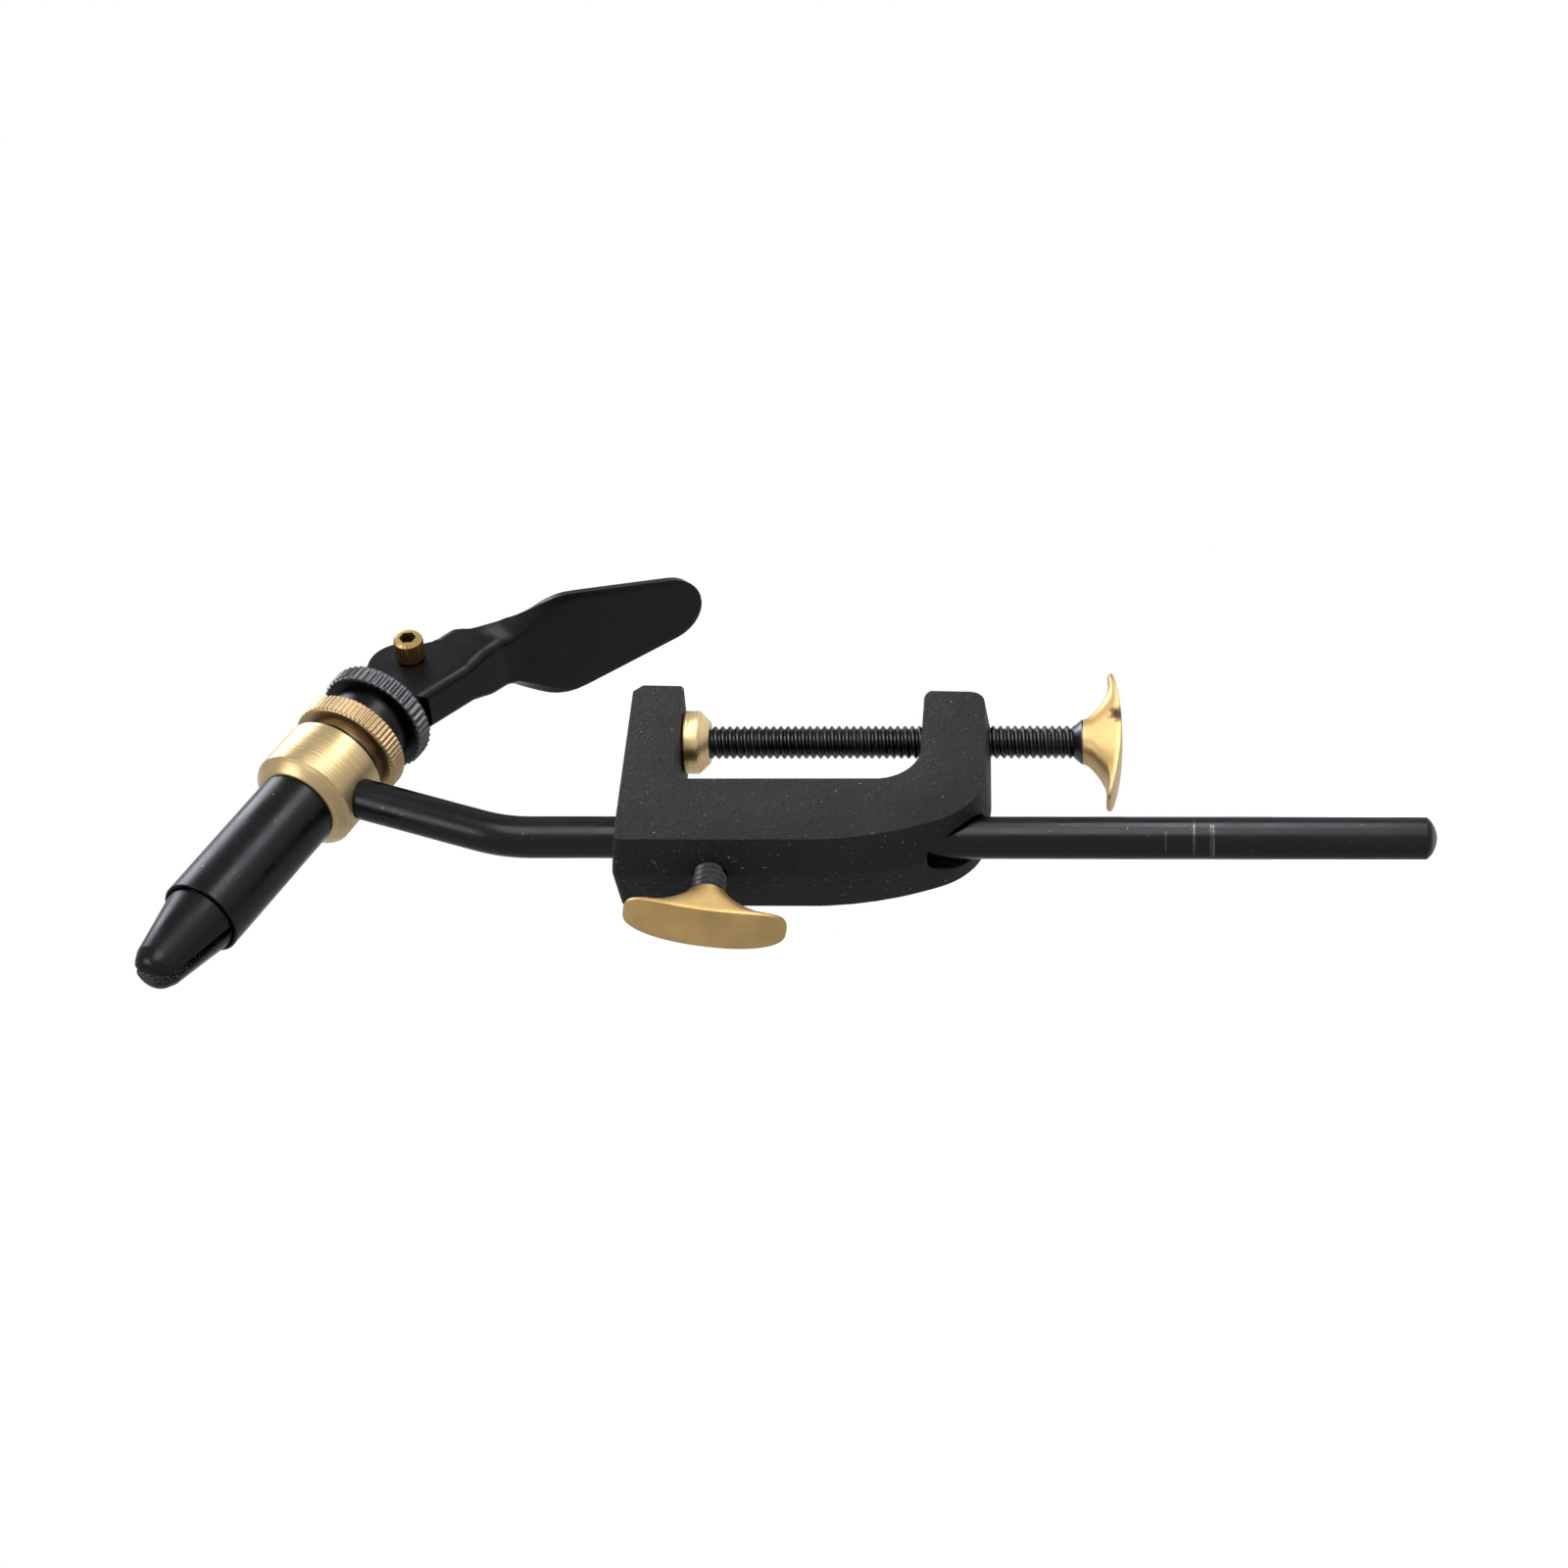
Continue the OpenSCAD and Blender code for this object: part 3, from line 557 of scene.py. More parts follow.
def thread(name, start, end):
    """A threaded rod along Z, from start to end in millimetres."""
    deselect()
    first = ((screw_r - thread_depth) * MM, 0, (start - spare_turns * pitch) * MM)
    bpy.ops.mesh.primitive_plane_add(size=MM, location=first)
    rod = bpy.context.object
    rod.name = name
    settle(rod)
    bpy.ops.object.mode_set(mode="EDIT")
    bpy.ops.mesh.select_all(action="SELECT")
    bpy.ops.mesh.merge(type="CENTER")
    for outwards, along in ((thread_depth, flank), (0, crest), (-thread_depth, flank), (0, root)):
        move = (outwards * MM, 0, along * MM)
        bpy.ops.mesh.extrude_vertices_move(TRANSFORM_OT_translate={"value": move})
    bpy.ops.object.mode_set(mode="OBJECT")
    wind = rod.modifiers.new("wind", "SCREW")
    wind.axis = "Z"
    wind.screw_offset = pitch * MM
    wind.iterations = math.ceil((end - start) / pitch) + spare_turns + 1
    wind.steps = winding_steps
    wind.render_steps = winding_steps
    wind.use_merge_vertices = True
    wind.merge_threshold = 0.005 * MM
    bpy.ops.object.modifier_apply(modifier="wind")
    bpy.ops.object.mode_set(mode="EDIT")
    bpy.ops.mesh.select_all(action="SELECT")
    bpy.ops.mesh.remove_doubles(threshold=weld)
    for height, from_below in ((start, True), (end, False)):
        bpy.ops.mesh.select_all(action="SELECT")
        bpy.ops.mesh.bisect(plane_co=(0, 0, height * MM), plane_no=(0, 0, 1), use_fill=True,
                            clear_inner=from_below, clear_outer=not from_below)
    bpy.ops.object.mode_set(mode="OBJECT")
    clean(rod, 30)
    return rod


print("thread:", round(inch / pitch, 1), "turns to the inch")

# %% [markdown]
# ## Screws
# Below its wing each screw swells to a shoulder, and a stub behind the shoulder is cast into the
# wing. The clamp screw also has a smooth tip that turns in the pad. Each screw is made pointing
# up, as it comes off the lathe, and then turned to where it belongs.

# %% Screws
core_r, foot_r, shoulder_r, stub_r = 2.6, 3.1, 4.28, 2.3
shoulder_run, shoulder_land, overlap, stub_depth = 1.7, 0.3, 0.3, 3.6
clamp_start, clamp_end = 5.2, 76.9
tip_top = 2.0
thumb_tip, thumb_seat, thumb_height = -31.09, -44.25, -8.2


def join(first, *others):
    deselect()
    for piece in (first, *others):
        piece.select_set(True)
    bpy.context.view_layer.objects.active = first
    bpy.ops.object.join()
    return first


def screw(name, start, end):
    """A thread that ends in a shoulder, with a stub behind it, at end."""
    foot = end - shoulder_run
    rod = thread(name, start, foot)
    shoulder = turned(name + "_shoulder", [
        (core_r, foot - overlap), (foot_r, foot), (shoulder_r, end - shoulder_land),
        (shoulder_r, end), (stub_r, end), (stub_r, end + stub_depth)], sides=48)
    return join(rod, shoulder)


clamp_screw = screw("clamp_screw_thread", clamp_start, clamp_end)
tip = turned("clamp_screw_tip", [
    (stub_r, tip_top), (stub_r, clamp_start - 0.2), (stub_r + 0.2, clamp_start + 0.1)], sides=48)
join(clamp_screw, tip)
place(clamp_screw, turn=(math.pi, 0, 0))
dress(clamp_screw, "screw", black_thread, "clamp_screw")

thumb_screw = screw("thumb_screw_thread", 0.0, thumb_tip - thumb_seat)
place(thumb_screw, turn=(0, -math.pi / 2, 0), at=(thumb_tip, 0, thumb_height))
dress(thumb_screw, "thumb", black_thread, "thumb_screw")

# %% [markdown]
# ## The wings
# A wing is a cast brass thumb piece: a round hub swells into a long oval with a bowed face and
# blunt ends. It could be sculpted, but an extruded circle is easier to keep even. Each ring is
# resized more along than across, then the rings are made blunt and the face is bowed by formula.

# %% Shape of a wing
wing_length, wing_width, wing_height, hub = 30.4, 9.4, 7.5, 8.6
rise_shares = [0, 0.07, 0.14, 0.21, 0.32, 0.43, 0.5, 0.55, 0.59, 0.7, 0.71, 0.72]
long_shares = [0, 0.03, 0.1, 0.19, 0.34, 0.52, 0.68, 0.84, 0.97, 1, 0.7, 0.36]
wide_shares = [0, 0.1, 0.25, 0.4, 0.6, 0.8, 0.9, 0.96, 0.99, 1, 0.7, 0.36]
face_rings = 2
inner_shares = (0.55, 0.4)
blunt_share, bow_share = 0.42, 0.28


def half_sizes():
    """Half the length and half the width of every ring, from the hub to the face."""
    rings = []
    for i, (a, b) in enumerate(zip(long_shares, wide_shares)):
        if i >= len(rise_shares) - face_rings:
            rings.append((wing_length / 2 * a, wing_width / 2 * b))
        else:
            rings.append((hub / 2 + (wing_length - hub) / 2 * a, hub / 2 + (wing_width - hub) / 2 * b))
    return rings


rings = half_sizes()
print("wing rings:", len(rings), "widest:", max(rings))

# %% Wings
def signed(value, power):
    return math.copysign(abs(value) ** power, value)


def blunten(piece):
    """Blunts the ends of the oval and bows its face, more and more away from the hub."""
    for point in piece.data.vertices:
        level = point.co.z / (wing_height * MM)
        nearest = min(range(len(rings)), key=lambda i: abs(rise_shares[i] - level))
        long_r, wide_r = (v * MM for v in rings[nearest])
        reach = math.hypot(point.co.x / long_r, point.co.y / wide_r)
        angle = math.atan2(point.co.y / wide_r, point.co.x / long_r)
        grown = min(1, 2 * level)
        power = 1 - blunt_share * grown
        point.co.x = reach * long_r * signed(math.cos(angle), power)
        point.co.y = reach * wide_r * signed(math.sin(angle), power)
        bow = bow_share * (1 - (2 * point.co.x / (wing_length * MM)) ** 2) * grown
        point.co.z += bow * wing_height * MM


def wing(name):
    """A wing standing on its hub at the origin, with its face up and its length along X."""
    deselect()
    bpy.ops.mesh.primitive_circle_add(vertices=128, radius=hub / 2 * MM)
    piece = bpy.context.object
    piece.name = name
    bpy.ops.object.mode_set(mode="EDIT")
    bpy.ops.mesh.select_all(action="SELECT")
    for i in range(1, len(rings)):
        step = (rise_shares[i] - rise_shares[i - 1]) * wing_height * MM
        bpy.ops.mesh.extrude_region_move(TRANSFORM_OT_translate={"value": (0, 0, step)})
        grow = (rings[i][0] / rings[i - 1][0], rings[i][1] / rings[i - 1][1], 1)
        bpy.ops.transform.resize(value=grow, center_override=(0, 0, 0))
    for share in inner_shares:
        bpy.ops.mesh.extrude_region_move(TRANSFORM_OT_translate={"value": (0, 0, 0)})
        bpy.ops.transform.resize(value=(share, share, 1), center_override=(0, 0, 0))
    bpy.ops.mesh.extrude_region_move(TRANSFORM_OT_translate={"value": (0, 0, 0)})
    bpy.ops.mesh.merge(type="CENTER")
    bpy.ops.object.mode_set(mode="OBJECT")
    blunten(piece)
    break_edges(piece, width=0.16, segments=2, angle=38)
    clean(piece, 32)
    return piece


clamp_wing = wing("clamp_screw_wing")
place(clamp_wing, turn=(math.pi, 0, -math.radians(12)), at=(0, 0, -clamp_end))
dress(clamp_wing, "screw", brass_stained, "clamp_wing")

thumb_wing = wing("thumb_screw_wing")
place(thumb_wing, turn=(0, 0, -math.radians(10)))
place(thumb_wing, turn=(0, -math.pi / 2, 0), at=(thumb_seat, 0, thumb_height))
dress(thumb_wing, "thumb", brass_wing, "thumb_wing")

# %% [markdown]
# ## The swivel pad
# The pad presses on the table, so it must not turn with the screw. It is a brass disc, bored for
# the screw's tip, with a cone on its back. Its outline runs from the bore round to the face.

# %% Swivel pad
pad_r, pad_neck, pad_bore = 6.1, 4.15, 2.35
pad_face, pad_floor, pad_top = 0.2, 1.9, 5.1
pad_side_low, pad_side_high = 0.45, 2.9
pad = turned("swivel_pad", [
    (pad_bore, pad_floor), (pad_bore, pad_top), (pad_neck - 0.15, pad_top), (pad_neck, pad_top - 0.12),
    (pad_r - 0.1, pad_side_high + 0.2), (pad_r, pad_side_high), (pad_r, pad_side_low),
    (pad_r - 0.25, pad_face), (1.0, pad_face)])
place(pad, turn=(math.pi, 0, 0))
dress(pad, "pad", brass_pad, "clamp_pad")

# %% [markdown]
# ## The stem
# The stem is one bar, straight through the clamp and bent by 20 degrees above it. A disc is
# extruded up the straight part, turned through the bend in small steps and extruded again to the
# collar. Its lower end is a low dome.

# %% Stem
bar, stem_end = 3.97, -142.4
stem_x, bend_z, bend_r, bend = -27.02, 31.8, 28.0, math.radians(20.4)
arm, collar_sunk, bend_steps = 41.15, 8.0, 14
straight_top = bend_z - bend_r * math.tan(bend / 2)
dome = [(0.4, 0), (1.2, 0.14), (2.2, 0.5), (3.1, 1.03), (3.75, 1.65), (bar, 1.95)]
outline = [(radius, stem_end + height) for radius, height in dome]
outline += [(bar, height) for height in (-100, -60, -20, straight_top)]
stem = turned("stem_bar", outline, sides=72, closed=False)
place(stem, at=(stem_x, 0, 0))
clear_picks(stem)
for point in stem.data.vertices:
    point.select = point.co.z > (straight_top - 0.01) * MM
bpy.ops.object.mode_set(mode="EDIT")
bend_centre = ((stem_x + bend_r) * MM, 0, straight_top * MM)
for step in range(bend_steps):
    bpy.ops.mesh.extrude_region_move(TRANSFORM_OT_translate={"value": (0, 0, 0)})
    bpy.ops.transform.rotate(value=-bend / bend_steps, orient_axis="Y", orient_type="GLOBAL",
                             center_override=bend_centre)
upper = arm - bend_r * math.tan(bend / 2) - collar_sunk
reach = (upper * MM * math.sin(bend), 0, upper * MM * math.cos(bend))
bpy.ops.mesh.extrude_region_move(TRANSFORM_OT_translate={"value": reach})
bpy.ops.mesh.select_all(action="SELECT")
bpy.ops.mesh.fill_holes(sides=0)
bpy.ops.object.mode_set(mode="OBJECT")
clean(stem, 30)
dress(stem, "post", black_stem, "stem")
print("stem top:", [round(c / MM, 1) for c in max((v.co for v in stem.data.vertices), key=lambda c: c.z)])

# %% [markdown]
# ## The collar
# The brass collar is fixed on the stem, and the whole head turns in its bore. Its outline is a
# line from the bore out and back, so bridging its two ends gives a hollow piece. The short cone
# on its front is what catches the light in the photo.

# %% Collar
neck_bore = 7.0
collar_r, collar_half, cone_foot = 10.6, 6.7, 4.4
collar = turned("head_collar", [
    (neck_bore, -collar_half), (collar_r - 0.3, -collar_half), (collar_r, -collar_half + 0.3),
    (collar_r, cone_foot - 0.2), (collar_r - 0.1, cone_foot), (8.4, collar_half - 0.1),
    (8.2, collar_half), (neck_bore, collar_half)], sides=128, bored=True)
onto_head(collar)
dress(collar, "post", brass_head, "collar")

# %% [markdown]
# ## The barrel
# The barrel is a black tube with a thinner neck that runs back through the collar. The cone in
# its mouth squeezes the jaws shut when they are pulled back, and the neck holds the draw rod.

# %% Barrel
barrel_r, barrel_bore, mouth_bore = 7.94, 6.0, 7.33
shoulder_at, mouth, cone_length = 6.8, 39.9, 6.35
neck_r, rod_bore, bore_floor, neck_back = 6.95, 3.5, -4.5, -19.8
barrel = turned("barrel_tube", [
    (neck_r, neck_back), (neck_r, shoulder_at), (7.7, shoulder_at), (barrel_r, shoulder_at + 0.25),
    (barrel_r, mouth - 0.2), (barrel_r - 0.16, mouth), (mouth_bore + 0.12, mouth),
    (mouth_bore, mouth - 0.12), (barrel_bore, mouth - cone_length), (barrel_bore, bore_floor),
    (rod_bore, bore_floor), (rod_bore, neck_back)], sides=128, bored=True)
onto_head(barrel)
dress(barrel, "head", black_head, "barrel")

# %% [markdown]
# ## Washer, lock ring and wheel
# Behind the collar come a black washer, a finely knurled brass lock ring and a coarsely knurled
# black wheel that sets how far the jaws open. The circle that such a rim starts from has a few
# points to each tooth, and the knurl comes from drawing some of them in towards the axis.

# %% Knurling
def knurl(piece, teeth, depth, inside, pattern):
    """Cuts straight grooves, in the points that lie outside a radius."""
    clear_picks(piece)
    sides = teeth * len(pattern)
    for level in sorted(set(pattern) - {0.0}):
        for point in piece.data.vertices:
            spot = round(math.atan2(point.co.y, point.co.x) / (2 * math.pi) * sides) % len(pattern)
            radius = math.hypot(point.co.x, point.co.y)
            point.select = pattern[spot] == level and radius > inside * MM
        top = max(math.hypot(p.co.x, p.co.y) for p in piece.data.vertices)
        share = 1 - level * depth * MM / top
        bpy.ops.object.mode_set(mode="EDIT")
        bpy.ops.transform.resize(value=(share, share, 1), center_override=(0, 0, 0))
        bpy.ops.mesh.select_all(action="DESELECT")
        bpy.ops.object.mode_set(mode="OBJECT")


def rim(radius, low, high, steps):
    """The outline of a rim whose edges fall away, in steps of inwards and along."""
    rising = [(radius - inwards, low + along) for inwards, along in steps]
    return rising + [(radius - inwards, high - along) for inwards, along in reversed(steps)]


print("knurling ready")

# %% Washer
washer_r, washer_back, washer_front = 9.2, -8.3, -6.8
washer_rim = rim(washer_r, washer_back, washer_front, [(0.2, 0), (0, 0.15)])
washer = turned("friction_washer_disc", [
    (neck_bore, washer_back), *washer_rim, (neck_bore, washer_front)], bored=True)
onto_head(washer)
dress(washer, "head", black_head, "friction_washer")

# %% Lock ring
ring_r, ring_hub, ring_bore, ring_teeth = 11.2, 8.3, 7.1, 70
ring_back, ring_front, hub_front = -14.8, -10.1, -8.4
fine_shares = (1.0, 0.35, 0.0, 0.35)
ring_rim = rim(ring_r, ring_back, ring_front, [(0.8, 0), (0.4, 0.14), (0, 0.5)])
ring = turned("lock_ring_knurled", [
    (ring_bore, ring_back), *ring_rim, (ring_hub, ring_front), (ring_hub, hub_front),
    (ring_bore, hub_front)], sides=ring_teeth * len(fine_shares), bored=True)
knurl(ring, ring_teeth, depth=0.4, inside=ring_r - 0.25, pattern=fine_shares)
onto_head(ring)
dress(ring, "ring", brass_ring, "lock_ring")

# %% Adjusting wheel
wheel_r, wheel_hub, wheel_bore, wheel_teeth = 11.25, 8.6, 3.1, 46
wheel_back, wheel_front, hub_front, wheel_floor = -24.5, -20.2, -15.8, -19.9
coarse_shares = (1.0, 0.9, 0.6, 0.0, 0.6, 0.9)
wheel_rim = rim(wheel_r, wheel_back, wheel_front, [(1.15, 0), (0.55, 0.2), (0, 0.65)])
wheel = turned("adjusting_wheel_knurled", [
    (wheel_bore, wheel_back), *wheel_rim, (wheel_hub, wheel_front), (wheel_hub, hub_front - 0.2),
    (wheel_hub - 0.2, hub_front), (neck_r + 0.1, hub_front), (neck_r + 0.1, wheel_floor),
    (wheel_bore, wheel_floor)], sides=wheel_teeth * len(coarse_shares), bored=True)
knurl(wheel, wheel_teeth, depth=0.65, inside=wheel_r - 0.4, pattern=coarse_shares)
onto_head(wheel)
dress(wheel, "wheel", black_head, "adjusting_wheel")


def on_rim(face):
    away = face.center - head_place
    return math.sqrt(away.length ** 2 - away.dot(head_line) ** 2) > (wheel_r - 0.85) * MM


give_faces(wheel, black_rim, on_rim)

# %% [markdown]
# ## Parts that keep their solids
# The collet's base, the draw rod, the spring and the pivot screw already have their shape, and
# they are hidden or nearly so. They stay as they are and only get a finish.

# %% Collet parts from the solids
for name in ("collet_base", "draw_rod", "return_spring", "pivot_screw"):
    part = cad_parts[name]
    part.data.materials.clear()
    part.data.materials.append(wire_finish if name == "return_spring" else black_head)
    print(name, "keeps its solid")

# %% [markdown]
# ## The jaws
# The jaws are two halves of one turned and split collet. The full nose is turned, with a crisp
# edge where the cone meets the dome, and then sawn along a plane on each side of the axis. The
# two planes open a little towards the nose. The flat faces are serrated to hold a hook.

# %% Jaws
nose, crisp_back = 57.1, 3.38
jaw_foot, jaw_floor, jaw_r, jaw_bore = 12.15, 32.9, 5.45, 3.2
cone_start, cone_r, axis_r = 31.67, 7.15, 0.3
slot_half, slot_run, slot_widening = 0.95, 45.0, 0.4
dome = [(4.75, crisp_back), (4.42, 2.62), (4.13, 1.96), (3.84, 1.42), (3.48, 0.98),
        (3.0, 0.6), (2.4, 0.32), (1.6, 0.11), (axis_r, 0)]
outline = [(axis_r, jaw_floor), (jaw_bore, jaw_floor), (jaw_bore, jaw_foot), (jaw_r, jaw_foot),
           (jaw_r, cone_start), (cone_r, mouth - 0.23), (cone_r, mouth + 0.15)]
outline += [(radius, nose - back) for radius, back in dome]


def on_crisp_edge(jaw, edge):
    heights = [jaw.data.vertices[v].co.z for v in edge.vertices]
    return all(abs(height - (nose - crisp_back) * MM) < 0.05 * MM for height in heights)


for side, node, body in ((-1, "left_jaw", "jaw_l"), (1, "right_jaw", "jaw_r")):
    jaw = turned(node + "_turned", outline)
    pick_only(jaw)
    bpy.ops.object.mode_set(mode="EDIT")
    bpy.ops.mesh.select_all(action="SELECT")
    saw_place = (0, side * slot_half * MM, nose * MM)
    saw_face = Vector((0, -side * slot_run, slot_widening)).normalized()
    bpy.ops.mesh.bisect(plane_co=saw_place, plane_no=saw_face, use_fill=True, clear_outer=True)
    bpy.ops.object.mode_set(mode="OBJECT")
    break_edges(jaw, width=0.06, segments=1, angle=50)
    for edge in jaw.data.edges:
        edge.use_edge_sharp = on_crisp_edge(jaw, edge)
    clean(jaw, 22)
    onto_head(jaw)
    dress(jaw, body, black_head, node)
    give_faces(jaw, black_grip, lambda face: abs(face.normal.y) > 0.99)

# %% [markdown]
# ## The lever
# The lever is pressed from one sheet 1.6 mm thick. Near its pivot it is a deep channel whose two
# flanges are the cams. Towards the thumb the flanges get lower and open out, until only a faint
# turned-up edge is left round the paddle. A flat grid is the blank: each row of it is folded into
# its own section, and the rows follow the side view of the lever.

# %% Side view of the lever
gauge, web_depth, channel_half = 1.6, 11.2, 4.7
pivot_z = -36.0
lean, paddle_lean = math.radians(19.5), math.radians(39)
along_web = Vector((math.cos(lean), math.sin(lean)))
up_web = Vector((math.sin(lean), -math.cos(lean)))
along_paddle = Vector((math.cos(paddle_lean), math.sin(paddle_lean)))
up_paddle = Vector((math.sin(paddle_lean), -math.cos(paddle_lean)))
web_foot = -web_depth * up_web
neck = Vector((10.2, 15.494))
print("the paddle leans", round(math.degrees(paddle_lean - lean), 1), "degrees from the web")

# %% Edge of the cams
cam_low, cam_lift, web_front = 11.4, 1.6, 4.73
lobe_x, lobe_y, lobe_r = -2.8, -0.5, 6.7
flange_end = Vector((6.72, 2.35))


def cam(angle):
    """The cam lifts the draw rod by cam_lift for each radian of turn."""
    height = cam_low + cam_lift * angle
    return Vector((cam_lift * math.sin(angle) - height * math.cos(angle),
                   height * math.sin(angle) + cam_lift * math.cos(angle)))


def lobe(degrees):
    turn = math.radians(degrees)
    return Vector((lobe_x + lobe_r * math.cos(turn), lobe_y + lobe_r * math.sin(turn)))


def walk(points, share):
    """The place at a share of the way along a line of points."""
    steps = [(q - p).length for p, q in zip(points, points[1:])]
    left = share * sum(steps)
    for p, q, step in zip(points, points[1:], steps):
        if left <= step:
            return p.lerp(q, left / step)
        left -= step
    return points[-1].copy()


front = [cam(math.radians(a)) for a in range(22, -49, -5)]
top = [front[-1]] + [lobe(a) for a in range(243, 369, 9)] + [flange_end]
low_front = web_foot - web_front * along_web
print("cam corners:", [tuple(round(c, 1) for c in p) for p in (front[0], front[-1])])

# %% Sections of the lever
web_run, web_lip = 7.1, 2
web_end = web_foot + web_run * along_web
low_end = web_end + web_lip * up_web
channel_rows = (
    (web_run, flange_end, -7.7, 90), (8.8, (8.15, 3.25), -6.0, 90), (10.4, (9.46, 4.48), -4.4, 90),
    (11.4, (9.95, 6.1), -3.4, 88), (12.3, (10.25, 7.8), -2.5, 84), (13.3, (10.8, 9.1), -1.5, 78))
neck_rows = (
    ((9.65, 15.24), (11.5, 10.3), -0.6, 71), ((10.3, 15.50), (12.3, 11.55), 0.2, 62),
    (neck + 1.1 * along_paddle, (13.15, 12.9), 1.1, 54))
paddle_rows = (
    (2.1, 3.55, 47), (3.1, 2.95, 43), (4.2, 2.4, 38), (5.4, 1.85, 33), (6.8, 1.3, 27), (8.4, 0.9, 22),
    (10.0, 0.62, 18), (12.0, 0.46, 16), (14.0, 0.38, 14), (16.5, 0.32, 13), (19.5, 0.3, 12),
    (23.0, 0.3, 12), (27.0, 0.3, 12), (31.0, 0.3, 12), (34.0, 0.3, 12))
tip_angles = (12.5, 24, 36, 47, 57, 66, 74, 81)
tip_at, tip_r, tip_edge, tip_opening = 34.7, 7.6, 0.3, 12


def paddle_row(spot_on, height, opening):
    base = neck + spot_on * along_paddle
    return base, base + height * up_paddle, spot_on, opening


stations = [(web_foot + run * along_web, Vector(edge), spot_on, opening)
            for run, edge, spot_on, opening in channel_rows]
stations += [(Vector(base), Vector(edge), spot_on, opening) for base, edge, spot_on, opening in neck_rows]
stations += [paddle_row(*row) for row in paddle_rows]
stations += [paddle_row(tip_at + tip_r * math.sin(math.radians(a)), tip_edge, tip_opening)
             for a in tip_angles]
print("sections:", len(stations), "from the web to the tip")

# %% Width of the lever
flare_foot, flare_end, flare_half = -10, 7.8, 11.15
flare_run, flare_run_squared, flare_pull = 7.94, 63.04, 19.72
widest_at, widest_half = 13, 12.3
taper_start, taper_run, taper_half, taper_fall = 15.66, 20.68, 12.01, 4.59
least_half = 0.15


def half_width(spot_on):
    """Half the width of the lever, at a place counted from the neck along the paddle."""
    if spot_on < flare_end:
        root = math.sqrt(flare_run_squared + 2 * flare_pull * max(0, spot_on - flare_foot))
        t = (root - flare_run) / flare_pull
        return channel_half * (1 - t * t) + flare_half * t * t
    if spot_on < taper_start:
        return math.sqrt(widest_half ** 2 - (spot_on - widest_at) ** 2)
    if spot_on < taper_start + taper_run:
        return taper_half - (spot_on - taper_start) * taper_fall / taper_run
    return max(least_half, math.sqrt(max(0, tip_r ** 2 - (spot_on - tip_at) ** 2)))


print("widest:", round(2 * half_width(widest_at), 1), "mm")

# %% Fold of one section
web_columns, bend_columns, flange_columns, front_rows = 8, 5, 9, 16
half_columns = web_columns + bend_columns + flange_columns
rows = front_rows + len(stations) - 1
fold_r = 2.0


def section(width, height, opening, column):
    """Side distance and height of a column of the sheet, for one section of the lever."""
    bend_r = min(fold_r, width * 0.4, height / (1 - math.cos(opening)) * 0.9)
    flat = (height - bend_r * (1 - math.cos(opening))) / math.sin(opening)
    start = width - flat * math.cos(opening) - bend_r * math.sin(opening)
    if column <= web_columns:
        return start * column / web_columns, 0.0
    if column <= web_columns + bend_columns:
        turn = opening * (column - web_columns) / bend_columns
        return start + bend_r * math.sin(turn), bend_r * (1 - math.cos(turn))
    rest = flat * (column - web_columns - bend_columns) / flange_columns
    return (start + bend_r * math.sin(opening) + rest * math.cos(opening),
            bend_r * (1 - math.cos(opening)) + rest * math.sin(opening))


print("blank:", rows + 1, "rows of", 2 * half_columns + 1, "points")

# %% [markdown]
# ## Folding the blank
# Behind the cams each row of the blank takes one section. Beside the cams the flange is bounded
# by four lines: cam, lobe, web and first section. A point inside is blended from all four.

# %% Fold the blank
dent_depth, dent_at, dent_aside, dent_spread = 0.45, 3.4, 1.0, 5.0
nearly_flat, corner_rise = 20, 1.9


def fold_behind(row, column):
    """A point of the web's back, the neck or the paddle, in the section of its row."""
    base, edge, spot_on, opening = stations[row - front_rows]
    reach = (edge - base).length
    width = half_width(spot_on)
    height = min(reach, width * 0.9) if opening < nearly_flat else reach
    z, height = section(width, height, math.radians(opening), column)
    away = (spot_on - dent_at) ** 2 + (z - dent_aside) ** 2
    dent = dent_depth * math.exp(-away / dent_spread) if column <= web_columns else 0
    return base + (edge - base) * ((height + dent) / reach), z


def fold_beside(row, column):
    """A point beside the cams, where the flange lies between cam, lobe, web and section."""
    u = row / front_rows
    z, height = section(channel_half, web_depth, math.radians(90), column)
    if column <= web_columns + bend_columns:
        start = low_front.lerp(front[0], min(1, height / corner_rise))
        return start.lerp(web_end + height * up_web, u), z
    v = (column - web_columns - bend_columns) / flange_columns
    left, right = walk(front, v), low_end.lerp(stations[0][1], v)
    low, high = front[0].lerp(low_end, u), walk(top, u)
    corner = (1 - u) * (1 - v) * front[0] + u * (1 - v) * low_end + (1 - u) * v * top[0] + u * v * top[-1]
    return (1 - u) * left + u * right + (1 - v) * low + v * high - corner, z


deselect()
bpy.ops.mesh.primitive_grid_add(x_subdivisions=rows, y_subdivisions=2 * half_columns, size=2)
lever = bpy.context.object
lever.name = "lever_pressed"
for point in lever.data.vertices:
    row = round((point.co.x + 1) / 2 * rows)
    column = round((point.co.y + 1) / 2 * 2 * half_columns) - half_columns
    lies_at, z = (fold_behind if row >= front_rows else fold_beside)(row, abs(column))
    point.co = Vector((-lies_at.y, math.copysign(1, column) * z, pivot_z - lies_at.x)) * MM
print("folded:", len(lever.data.vertices), "points")

# %% [markdown]
# ## Thickness and holes
# The web is cut away between the cams so that the draw rod can reach the pivot. Then Solidify
# gives the sheet its thickness inwards, a Boolean drills the pivot's holes, and a bevel breaks
# the edges. All faces must point to one side first, or the wall would grow to the wrong one.

